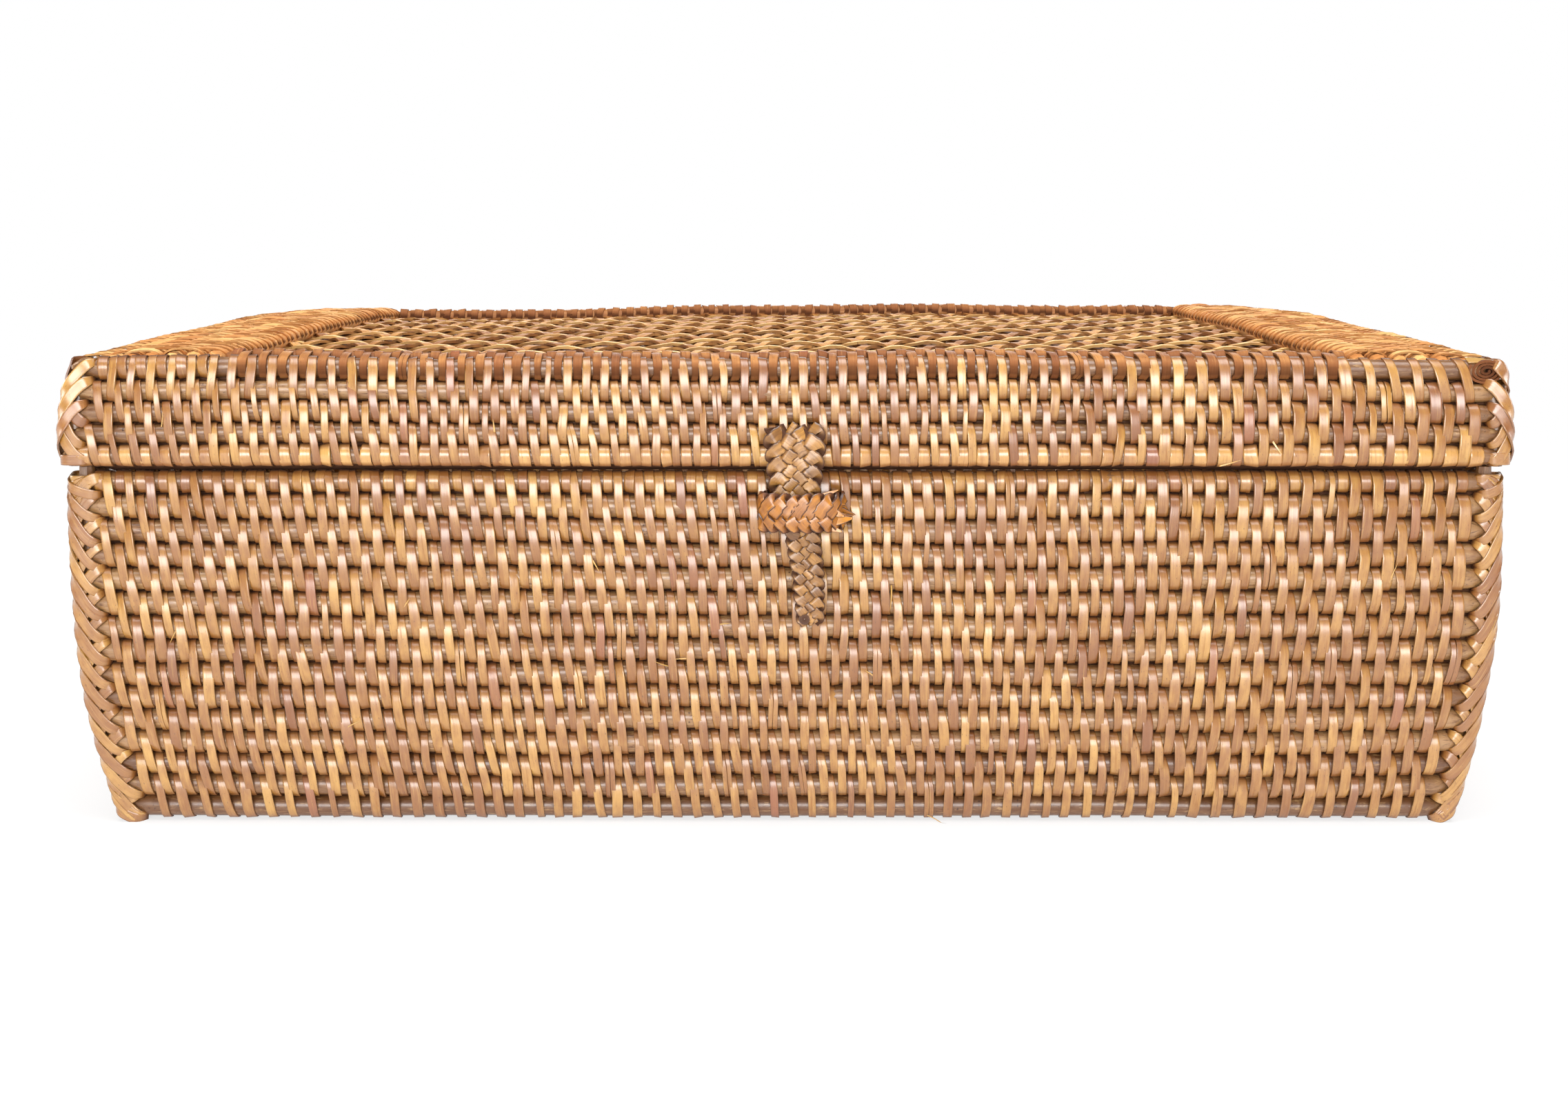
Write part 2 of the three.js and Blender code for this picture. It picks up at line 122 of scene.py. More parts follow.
# ---- forms modelled once, by hand
def choose(kind, test):
    """Selects, in edit mode, the vertices, edges or faces that pass the test."""
    bpy.ops.mesh.select_all(action="DESELECT")
    bpy.context.tool_settings.mesh_select_mode = (kind == "verts", kind == "edges", kind == "faces")
    mesh = bmesh.from_edit_mesh(bpy.context.object.data)
    for part in getattr(mesh, kind):
        if test(part):
            part.select_set(True)
    mesh.select_flush_mode()
    bmesh.update_edit_mesh(bpy.context.object.data)


def runs_along(edge, axis):
    a, b = edge.verts
    return abs(a.co[axis] - b.co[axis]) > 0.9 * (b.co - a.co).length


class Form:
    """A modelled mesh as arrays: x runs 0 to 1 along the cane, y across it, z out of its face."""

    def __init__(self, steps, closed):
        mesh = bpy.context.object.data
        points = np.array([v.co for v in mesh.vertices])
        self.steps = steps
        self.ring = np.clip(np.rint((points[:, 0] + 0.5) * steps), 0, steps).astype(int)
        self.over = np.round(points[:, 0] + 0.5 - self.ring / steps, 4)
        self.y, self.z = points[:, 1], points[:, 2]
        is_rod = np.abs(self.y).max() > 0.9
        self.edge = np.zeros(len(points)) if is_rod else 2 * np.abs(self.y)
        turn = (np.arctan2(self.z, self.y) / (2 * math.pi) - 0.625) % 1
        turn[turn > 0.9999] = 0
        weld = np.arange(len(points))
        if closed:
            spots = [tuple(spot) for spot in np.round(points[:, 1:], 4)]
            first = {spots[i]: i for i in np.flatnonzero(self.ring == 0)}
            for i in np.flatnonzero(self.ring == steps):
                weld[i] = first[spots[i]]
        corners, place, smooth = [], [], []
        for polygon in mesh.polygons:
            around = np.array(polygon.vertices)
            end = abs(polygon.normal[0]) > 0.5
            if closed and end:
                continue
            corners.append(around)
            smooth.append(not end and (is_rod or polygon.normal[2] > 0.3))
            if end:
                at = 1.01 if polygon.center[0] < 0 else 1.05
                place.append(np.stack((at + 0.03 * (self.y[around] / 2 + 0.5), self.z[around] / 4 + 0.5), 1))
                continue
            t = turn[around].copy()
            if t.max() - t.min() > 0.5:
                t[t < 0.5] += 1
            place.append(np.stack((self.ring[around] / steps, t), 1))
        raw = np.concatenate(corners)
        self.sizes, self.smooth = np.array([len(around) for around in corners]), np.array(smooth)
        self.place = np.concatenate(place) / (1.09, 1.001)
        self.corner_ring = self.ring[raw]
        self.corner_y = self.y[raw]
        keep, renumbered = np.unique(weld, return_inverse=True)
        self.corners = renumbered[raw]
        self.ring, self.over = self.ring[keep], self.over[keep]
        self.y, self.z, self.edge = self.y[keep], self.z[keep], self.edge[keep]
        bpy.ops.object.delete()


FLAT_SHARE = 0.72  # of a strip's width


def strip_form(steps, closed=False):
    """A split cane: a flat bar cut into lengths, its outer face flat between two rounded margins."""
    bpy.ops.object.select_all(action="DESELECT")
    bpy.ops.mesh.primitive_cube_add(size=1)
    bpy.ops.object.mode_set(mode="EDIT")
    choose("edges", lambda edge: runs_along(edge, 0))
    bpy.ops.mesh.subdivide(number_cuts=steps - 1)
    choose("edges", lambda edge: runs_along(edge, 1) and edge.verts[0].co.z > 0)
    bpy.ops.mesh.subdivide(number_cuts=2)
    choose("verts", lambda vert: abs(vert.co.y) < 0.4 and vert.co.z > 0)
    bpy.ops.transform.resize(value=(1, 6 * FLAT_SHARE / 2, 1))
    bpy.ops.object.mode_set(mode="OBJECT")
    return Form(steps, closed)


ROD_SIDES = 10


def rod_form(steps):
    """A whole cane: a round bar cut into lengths, its ends rounded off."""
    bpy.ops.object.select_all(action="DESELECT")
    bpy.ops.mesh.primitive_cylinder_add(vertices=ROD_SIDES, radius=1, depth=1)
    bpy.ops.object.mode_set(mode="EDIT")
    bpy.ops.mesh.select_all(action="SELECT")
    bpy.ops.transform.rotate(value=math.pi / 2, orient_axis="Y", center_override=(0, 0, 0))
    choose("edges", lambda edge: runs_along(edge, 0))
    bpy.ops.mesh.subdivide(number_cuts=steps - 1)
    choose("faces", lambda face: abs(face.normal.x) > 0.9)
    bpy.ops.mesh.inset(thickness=0.3, depth=0.002, use_individual=True)
    choose("verts", lambda vert: abs(abs(vert.co.x) - 0.5) < 1e-4)
    bpy.ops.transform.resize(value=(1, 0.86, 0.86))
    bpy.ops.object.mode_set(mode="OBJECT")
    return Form(steps, False)


STITCH = strip_form(11, closed=True)
WRAP = strip_form(12, closed=True)
HINGE = strip_form(10, closed=True)
LASH = strip_form(20)
SPIRAL = strip_form(64)
NET_STRIP = strip_form(150)
PLAIT_STRAND = strip_form(120)
SHORT_STRAND = strip_form(12)
ROD = rod_form(14)


# ---- gathering canes into pieces
def unit(v):
    return v / np.linalg.norm(v, axis=-1, keepdims=True)


def bearings(spine, out):
    """Across a strip and out of its face, along its spine, for a strip that faces out."""
    forward = unit(np.gradient(spine, axis=0))
    side = unit(np.cross(out, forward))
    return side, np.cross(forward, side)


def varying(places, values):
    """A value that changes along a row, from what it is at a few places."""
    return lambda at: np.interp(at, places, values)


def steady(value):
    return varying((0,), (value,))


def share_near(mean, spread):
    return np.clip(rng.normal(mean, spread), 0, 1)


class Drift:
    """A slow random wander along a length."""

    def __init__(self, wavelength, size):
        self.rate = 2 * math.pi / wavelength * rng.uniform(0.5, 1.7, 4)
        self.start = rng.uniform(0, 2 * math.pi, 4)
        self.size = size

    def __call__(self, at):
        return self.size * np.sin(np.multiply.outer(at, self.rate) + self.start).sum(-1) / 2


class Bundle:
    """The canes of one piece, gathered before they become its mesh."""

    def __init__(self):
        self.arrays = {}
        self.cells, self.count = [], 0

    def lay(self, form, spine, side, up, width, thick, finish, tone, blush, tuck_shade=0.0):
        """Bends copies of a form along one spine or many; what is given after it may vary along each."""
        spine = spine.reshape(-1, form.steps + 1, 3)
        n, ring = len(spine), form.ring
        side, up = (np.broadcast_to(v, spine.shape) for v in (side, up))
        width, thick, tuck_shade = (np.broadcast_to(v, spine.shape[:2]) for v in (width, thick, tuck_shade))
        points = (
            spine[:, ring]
            + side[:, ring] * (form.y * width[:, ring])[..., None]
            + up[:, ring] * (form.z * thick[:, ring])[..., None]
        )
        length = np.linalg.norm(np.diff(spine, axis=1), axis=2)
        reach = np.concatenate((np.zeros((n, 1)), np.cumsum(length, 1)), 1)
        if np.any(form.over):
            forward = unit(spine[:, -1] - spine[:, 0])
            points = points + forward[:, None] * (form.over * reach[:, -1:])[..., None]
        # The look holds tone, redness, how far the cane is tucked in, which the finish paints as shade, and
        # the distance from a strip's middle, where its sides take painted shade.
        look = np.zeros((n, len(ring), 4))
        look[..., 0] = np.reshape(tone, (-1, 1))
        look[..., 1] = np.reshape(blush, (-1, 1))
        look[..., 2] = tuck_shade[:, ring]
        look[..., 3] = form.edge
        shift = rng.uniform(0, 400, (n, 1, 2))
        grain = np.stack((reach[:, form.corner_ring], form.corner_y * width[:, form.corner_ring]), 2) + shift
        offsets = self.count + np.arange(n)[:, None] * len(ring)
        for key, values in (
                ("points", points.reshape(-1, 3)), ("looks", look.ravel()), ("grain", grain.ravel()),
                ("corners", (form.corners + offsets).ravel()), ("sizes", np.tile(form.sizes, n)),
                ("smooth", np.tile(form.smooth, n)), ("finishes", np.full(n * len(form.sizes), finish))):
            self.arrays.setdefault(key, []).append(values)
        girth = 2.2 * float(np.mean(width)) + 2 * float(np.mean(thick))
        self.cells.append((form, n, float(np.mean(reach[:, -1])), girth))
        self.count += n * len(ring)

    def atlas(self):
        """A place of its own for every cane in one square map, for baking."""
        def shelves(edge):
            return sum(math.ceil(n / max(1, int(edge / long))) * girth for _, n, long, girth in self.cells)

        edge = max(cell[2] for cell in self.cells) * 1.02
        while shelves(edge) > edge:
            edge *= 1.02
        maps, floor_line = [], 0.0
        for form, n, long, girth in self.cells:
            per = max(1, int(edge / long))
            index = np.arange(n)
            corner = np.stack((index % per * long, floor_line + index // per * girth), 1)
            place = corner[:, None] + form.place * (0.97 * long, 0.88 * girth)
            maps.append(place.reshape(-1, 2) / edge)
            floor_line += math.ceil(n / per) * girth
        return np.concatenate(maps)

    def make(self, name, body, finishes, nodes, sway=True):
        """Turns the bundle into one mesh and hides the CAD nodes it takes the place of. Given a body's name,
        the mesh rides on that body; given anything else, it stays where it is.
        """
        whole = {key: np.concatenate(values) for key, values in self.arrays.items()}
        points, sizes = whole["points"], whole["sizes"]
        if sway:
            points = points + lay_of_the_cane(points)
        points[:, 2] = np.maximum(points[:, 2], 0.0)
        mesh = bpy.data.meshes.new(name)
        mesh.vertices.add(len(points))
        mesh.vertices.foreach_set("co", (points * MM).astype(np.float32).ravel())
        mesh.loops.add(len(whole["corners"]))
        mesh.loops.foreach_set("vertex_index", whole["corners"].astype(np.int32))
        mesh.polygons.add(len(sizes))
        mesh.polygons.foreach_set("loop_start", (np.cumsum(sizes) - sizes).astype(np.int32))
        mesh.polygons.foreach_set("material_index", whole["finishes"].astype(np.int32))
        mesh.polygons.foreach_set("use_smooth", whole["smooth"])
        mesh.update(calc_edges=True)
        for layer, values in (("cane", whole["grain"]), ("OFBake", self.atlas())):
            mesh.uv_layers.new(name=layer).uv.foreach_set("vector", values.astype(np.float32).ravel())
        look = mesh.color_attributes.new("look", "FLOAT_COLOR", "POINT")
        look.data.foreach_set("color", whole["looks"].astype(np.float32))
        for finish in finishes:
            mesh.materials.append(finish)
        mesh.validate()
        piece = bpy.data.objects.new(name, mesh)
        bpy.context.collection.objects.link(piece)
        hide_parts(*nodes)
        if isinstance(body, str):
            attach(piece, body)
        else:
            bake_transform(piece)


SEAM_Z = 92.7  # the waves are smallest here and at the ground
TOP_SAG = 1.6  # the lid's top lies this much lower along the back
LEFT_SAG = 2.0  # and at its left by this much more


def lay_of_the_cane(points):
    """The small waves that hand-sewn rows have, the same for everything at one place."""
    x, y, z = points.T
    calm = np.clip(np.abs(z - SEAM_Z) / 14, 0.25, 1) * np.clip(z / 8, 0, 1)
    dz = 0.28 * np.sin(x / 31 + 0.6 * np.sin(y / 40) + z / 19) + 0.2 * np.sin(x / 13.7 - y / 17 + z / 11)
    dx = 0.16 * np.sin(y / 23 + z / 9)
    dy = 0.2 * np.sin(x / 27 + z / 12)
    sag = (TOP_SAG + LEFT_SAG * np.clip((-x - 30) / 80, 0, 1)) * np.clip((z - 100) / 16, 0, 1)
    sag = sag * np.clip(y / 115, 0, 1) ** 2
    return np.stack((dx * calm, dy * calm, dz * calm - sag), 1)


# ---- sewing
STRIP_FINISH, ROD_FINISH, BINDING_FINISH, TOP_FINISH, EDGE_FINISH = range(5)
FIRST_FINISH = ONLY_FINISH = 0  # of any piece, and of one with no other


def closed_normals(path):
    """Outward directions along a closed path in a plane, for a path that runs clockwise."""
    step = np.roll(path, -1, 0) - np.roll(path, 1, 0)
    return unit(np.stack((-step[:, 1], step[:, 0]), 1))


ARCH = 0.3  # a strip stands this much further out between its two rods
ARCH_SQUARENESS = 2.35


def arc(radius, height, degrees, way=1):
    """Points round a rod, as (out, up), from straight out at 0 degrees."""
    return [(radius * math.cos(a), height + way * radius * math.sin(a)) for a in np.radians(degrees)]


def loop_over_two(gap, upper, lower):
    """A strip's path round two rods, as (out, up) from the point between them: one long arch in front."""
    path = []
    for angle in np.radians((84, 62, 42, 22, 0, -22, -42, -62, -84)):
        share = (1 + math.sin(angle)) / 2
        depth = lower + (upper - lower) * share + ARCH
        height = gap / 2 + (upper if angle > 0 else lower)
        rise = math.copysign(abs(math.sin(angle)) ** (2 / ARCH_SQUARENESS), angle)
        path.append((depth * math.cos(angle) ** (2 / ARCH_SQUARENESS), height * rise))
    path += [(-0.97 * lower, -gap / 2 - 0.2 * lower), (-0.97 * upper, gap / 2 + 0.2 * upper)]
    return np.array(path)


def loop_round_edge(gap, upper, lower):
    """A strip's path over a rod of the lid's top and on round the edge rod, down to the row below."""
    path = arc(upper, gap / 2, (84, 50)) + [((upper + lower) / 2 + 0.1, 0.0)]
    path += arc(lower, -gap / 2, (0, 35, 70, 105, 140, 170), -1)
    return np.array(path + [(-0.97 * lower, -0.3 * gap), (-0.97 * upper, gap / 2 + 0.2 * upper)])


def loop_over_one(radius):
    return np.array(arc(radius, 0, 90 - 360 * np.arange(WRAP.steps) / WRAP.steps))


RED_BELOW, DARK_BELOW = 0.035, 0.06  # a strip is red or dark by what it draws


def cane_tones(at, mean, spread):
    """Tone and redness of strips along a row: one strand sews a stretch, and the next differs."""
    n = len(at)
    tone = mean + Drift(70, 0.10)(at) + rng.normal(0, 0.6 * spread, n)
    blush = 0.18 + Drift(90, 0.10)(at) + rng.normal(0, 0.06, n)
    odd = rng.random(n)
    blush = np.where(odd < RED_BELOW, rng.uniform(0.6, 0.9, n), blush)
    tone = np.where((odd > RED_BELOW) & (odd < DARK_BELOW), tone - 0.35, tone)
    return np.clip(tone, 0, 1), np.clip(blush, 0, 1)


ROUGH_PROUD, ROUGH_BOW, ROUGH_ROLL = 0.07, 0.16, 0.09  # how unevenly strips lie
HOOK = 0.5  # a long strip comes out of its groove this much to one side, then turns down


def set_strips(bundle, form, path, middle, along, out, up, at, width, lean, finish, tones, depth):
    """Lays one strip round the path at each place along the row."""
    n = len(at)
    normals = closed_normals(path)
    path = np.concatenate((path, path[:1]))
    normals = np.concatenate((normals, normals[:1]))
    proud = rng.normal(0, ROUGH_PROUD, (n, 1))
    bow = rng.normal(0, ROUGH_BOW, (n, 1))
    front = path[:, 0] > -0.5 * depth
    share = path[:, 1] / path[:, 1].max()
    hook = HOOK * np.clip((share - 0.4) / 0.6, 0, 1) ** 1.5 if form is STITCH else 0.0
    across = at[:, None] + (lean[:, None] * path[:, 1] + bow * share**2 - hook) * front
    spine = (
        middle
        + across[..., None] * along
        + (path[:, 0] * (1 + proud / depth))[..., None] * out
        + path[:, 1:] * up
    )
    face = normals[:, :1] * out + normals[:, 1:] * up
    roll = rng.normal(0, ROUGH_ROLL, (n, 1, 1))
    side = along * np.cos(roll) + face * np.sin(roll)
    face = face * np.cos(roll) - along * np.sin(roll)
    # Painted shade where the strip goes in behind the rods; the strip also narrows a little there.
    tuck_shade = np.clip(1.15 - np.abs(path[:, 0]) / depth, 0, 1) ** 1.3
    narrow = 1 - 0.08 * tuck_shade
    bundle.lay(form, spine, side, face, width[:, None] * narrow, STRIP, finish, *tones, tuck_shade=tuck_shade)


def spread_places(halves, row_half, pitch_at, phase, jitter):
    """Places along a row. All rows of a side share one count, so that they keep their brick order."""
    widest = max(halves)
    s = np.linspace(-widest, widest, 400)
    turns = np.concatenate(([0], np.cumsum(np.diff(s) / pitch_at(s[1:]))))
    count = int(turns[-1])
    at = np.interp((np.arange(count) + 0.25 + phase) / count, turns / turns[-1], s)
    if row_half > 0.9 * widest:
        at = at * row_half / widest
    at = at + Drift(170, 0.4)(at) + rng.normal(0, jitter, len(at))
    return at[np.abs(at) < row_half]


def between(at):
    """The places between neighbouring strips, and one beyond each end."""
    inner = (at[:-1] + at[1:]) / 2
    return np.concatenate(([2 * at[0] - inner[0]], inner, [2 * at[-1] - inner[-1]]))


def outside(at, gaps):
    for low, high in gaps:
        at = at[(at < low) | (at > high)]
    return at


def rod_stations(low, high):
    """Places along a rod, closer together near its ends."""
    near = np.array((0, 1.6, 4.5))
    rest = np.linspace(low + 12, high - 12, ROD.steps - 5)
    return np.concatenate((low + near, rest, high - near[::-1]))


def lay_rods(bundle, rows, girths, ends, along, outs, mitres=None, wander=0.16, flat=0, flat_finish=None,
             broad=1.0, tuck_shade=0.0):
    """The rods, as many of them as are flat in a finish of their own.

    A mitred end is cut slantwise against the rod round the corner and narrows to a share of its girth.
    Broad rods are that many times as wide across the row as they are thick.
    """
    for i, (row, girth, (low, high), out) in enumerate(zip(rows, girths, ends, outs)):
        up = np.cross(out, along)
        s = rod_stations(low, high)
        calm = 1 - ((2 * s - low - high) / (high - low)) ** 4
        spine = row + s[:, None] * along
        for way in (out, up):
            spine = spine + (Drift(120, wander)(s) * calm)[:, None] * way
        round_girth = girth + Drift(60, 0.05)(s)
        slant = np.zeros((len(s), 1))
        for end, beside, share in zip((0, -1), (1, -2), mitres[i] if mitres else ()):
            if share:
                slant[end] = -1 if end == 0 else 1
                round_girth[[end, beside]] *= (share, (1 + share) / 2)
        turn = rng.uniform(0, 0.6)
        side = out * math.cos(turn) + up * math.sin(turn)
        face = np.cross(along, side)
        side = side + (broad - 1) * (side @ up) * up
        face = face + (broad - 1) * (face @ up) * up
        side = side + slant * (side @ out) * along
        face = face + slant * (face @ out) * along
        tone = share_near(0.5, 0.16)
        finish = flat_finish if i < flat else ROD_FINISH
        blush = rng.uniform(0.1, 0.55)
        bundle.lay(ROD, spine, side, face, round_girth, round_girth, finish, tone, blush, tuck_shade)


GAP_SHADE_CANE = (1.5, 1.1, 3)  # behind the rods, its own girth and short of their ends
# How deep the painted shade is on the canes that stand for the shade behind gaps and the seam.
GAP_SHADE = 0.9  # how tucked in the canes are that keep gaps dark


def shade_canes_in_gaps(bundle, rows, reaches, along, out):
    """A thin cane behind the space between each two rods, which don't quite touch, painted in shade to stand
    for the shade seen there.
    """
    middles = (rows[:-1] + rows[1:]) / 2 - GAP_SHADE_CANE[0] * out
    ends = [(GAP_SHADE_CANE[2] - reach, reach - GAP_SHADE_CANE[2]) for reach in reaches[1:]]
    count = len(middles)
    lay_rods(bundle, middles, [GAP_SHADE_CANE[1]] * count, ends, along, [out] * count, wander=0.08, tuck_shade=GAP_SHADE)


THIN_BELOW, THIN_WIDTH = 0.05, 0.68  # strips that draw less than this are thinner
TWIN_ABOVE, TWIN_WIDTH, TWIN_APART = 0.975, 0.52, 0.27  # those that draw more are two side by side


def sew_rows(bundle, rows, girths, halves, along, pitch_at, leans, gaps=(), gap_row=0, edge_at=None,
             finishes=None):
    """Strips round each pair of neighbouring rods, set in brick order like the real sewing."""
    places = []
    for k in range(len(rows) - 1):
        shorter = min(halves[k : k + 2])
        places.append(spread_places(halves, shorter, pitch_at, phase=0.5 * (k % 2), jitter=0.16))
    if edge_at is not None:
        at = between(places[edge_at + 1])
        places[edge_at] = at[np.abs(at) < halves[edge_at]]
    for k, at in enumerate(places):
        upper, lower = rows[k], rows[k + 1]
        gap = np.linalg.norm(upper - lower)
        up = (upper - lower) / gap
        out = np.cross(along, up)
        upper_path = girths[k] + STRIP / 2
        lower_path = girths[k + 1] + STRIP / 2
        finish, mean = finishes[k] if finishes else (STRIP_FINISH, 0.5)
        loop = loop_round_edge if k == edge_at else loop_over_two
        path = loop(gap, upper_path, lower_path)
        if k == gap_row:
            at = outside(at, gaps)
        wide = STITCH_SHARE * pitch_at(at) * rng.normal(1, 0.09, len(at))
        chance = rng.random(len(at))
        wide = np.where(chance < THIN_BELOW, wide * THIN_WIDTH, wide)
        lean = leans[k](at) + Drift(80, 0.04)(at) + rng.normal(0, 0.028, len(at))
        tones = cane_tones(at, mean, spread=0.07)
        single, twin = np.flatnonzero(chance <= TWIN_ABOVE), np.flatnonzero(chance > TWIN_ABOVE)
        order = np.concatenate((single, twin, twin))
        apart = np.repeat((0, -TWIN_APART, TWIN_APART), (len(single), len(twin), len(twin)))
        at, lean, tones = at[order] + apart * wide[order], lean[order], [t[order] for t in tones]
        wide = wide[order] * np.where(apart, TWIN_WIDTH, 1)
        middle, depth = (upper + lower) / 2, min(upper_path, lower_path)
        set_strips(bundle, STITCH, path, middle, along, out, up, at, wide, lean, finish, tones, depth)
    return places


def bind_row(bundle, row, girth, at, along, out, finish, share, mean):
    """Short strips round one rod; share is their width as a share of the distance to the next one."""
    wide = share * np.gradient(at).clip(3, 7) * rng.normal(1, 0.05, len(at))
    lean = rng.normal(-0.05, 0.05, len(at))
    up = np.cross(out, along)
    tones = cane_tones(at, mean, spread=0.07)
    path = loop_over_one(girth + STRIP / 2)
    set_strips(bundle, WRAP, path, row, along, out, up, at, wide, lean, finish, tones, girth)


def loose_strip(bundle, start, heading, lift, length, width, curl, tone=0.6, thick=0.2):
    """A frayed end: a thin strip that leaves its start and curls, in the piece's first finish."""
    s = np.linspace(0, 1, SHORT_STRAND.steps + 1)
    heading, lift = unit(np.array(heading, float)), unit(np.array(lift, float))
    spine = np.array(start) + (s * length)[:, None] * heading + (curl * s**2)[:, None] * lift
    taper = 1 - 0.85 * s**2
    blush = rng.uniform(0, 0.4)
    bundle.lay(SHORT_STRAND, spine, *bearings(spine, lift), width * taper, thick, FIRST_FINISH, tone, blush)


def stray_fibres(bundle, rows, half, count):
    """A few hairs of cane that have come loose from the sewing of the front."""
    for _ in range(count):
        row = rows[rng.integers(len(rows))]
        start = row + (rng.uniform(-half, half), -2.9, rng.uniform(-2.5, 2.5))
        heading = (rng.normal(0, 1), -0.12, rng.normal(0, 1))
        lift = (rng.normal(0, 0.6), -1, rng.normal(0, 0.6))
        length, width, curl = rng.uniform(2.5, 6.0), rng.uniform(0.25, 0.5), rng.uniform(0.4, 1.4)
        loose_strip(bundle, start, heading, lift, length, width, curl, tone=0.9, thick=0.12)


# ---- finishes
def arithmetic(operation, swapped=False):
    def add_node(self, other):
        first, second = (other, self) if swapped else (self, other)
        return self.finish.node("Math", {"operation": operation}, {0: first, 1: second})

    return add_node


class Value:
    """A shader value: arithmetic on it adds Math nodes."""

    def __init__(self, finish, socket):
        self.finish, self.socket = finish, socket

    __add__ = __radd__ = arithmetic("ADD")
    __mul__ = __rmul__ = arithmetic("MULTIPLY")
    __sub__, __rsub__ = arithmetic("SUBTRACT"), arithmetic("SUBTRACT", swapped=True)

    def ramp(self, low, high):
        """0 below low, 1 above high, smooth between."""
        settings = {"interpolation_type": "SMOOTHSTEP"}
        return self.finish.node("MapRange", settings, {"Value": self, "From Min": low, "From Max": high})


class Finish:
    """A material or world under construction."""

    def __init__(self, owner, shader="Principled BSDF"):
        owner.use_nodes = True
        self.tree = owner.node_tree
        self.shader = self.tree.nodes[shader]

    def node(self, kind, settings=None, inputs=None, output=0):
        node = self.tree.nodes.new("ShaderNode" + kind)
        for key, setting in (settings or {}).items():
            setattr(node, key, setting)
        for key, value in (inputs or {}).items():
            self.feed(node.inputs[key], value)
        return Value(self, node.outputs[output])

    def feed(self, socket, value):
        if isinstance(value, Value):
            self.tree.links.new(value.socket, socket)
        else:
            socket.default_value = value

    def shade(self, **inputs):
        """Sets inputs of the shader, each named with _ for a space."""
        for key, value in inputs.items():
            self.feed(self.shader.inputs[key.replace("_", " ")], value)

    def mix(self, share, first, second):
        """Colours mixed by share."""
        return self.node("Mix", {"data_type": "RGBA"}, {0: share, 6: first, 7: second}, 2)

    def noise(self, vector, sizes, detail, rough):
        """Noise with so many grains to the millimetre, along the cane and across it."""
        vector = self.node("Mapping", None, {"Vector": vector, "Scale": (*sizes, 1)})
        inputs = {"Vector": vector, "Scale": 1.0, "Detail": detail, "Roughness": rough}
        return self.node("TexNoise", None, inputs)


def colour(red, green, blue):
    """A colour as the eye reads it, 0 to 255, turned to the linear values that shaders take."""
    def linear(c):
        c /= 255
        return c / 12.92 if c <= 0.04045 else ((c + 0.055) / 1.055) ** 2.4

    return (linear(red), linear(green), linear(blue), 1.0)


# The dark of fine fibres and specks, which the cane has, and of the painted shade at strip sides and where
# canes tuck in.
DARK_FIBRE_AND_SHADE = (58, 26, 10)
# Painted shade along a strip's sides: where across the strip it starts and is full, and how dark it is.
# Plaits take a wider, darker one, painted for the shade between their strands.
EDGE_SHADE, PLAIT_EDGE_SHADE = (0.90, 1.06, 0.6), (0.66, 1.0, 0.95)
COAT_ROUGHNESS, COAT_IOR = 0.26, 1.75
FIBRE_HEIGHT = 0.00005


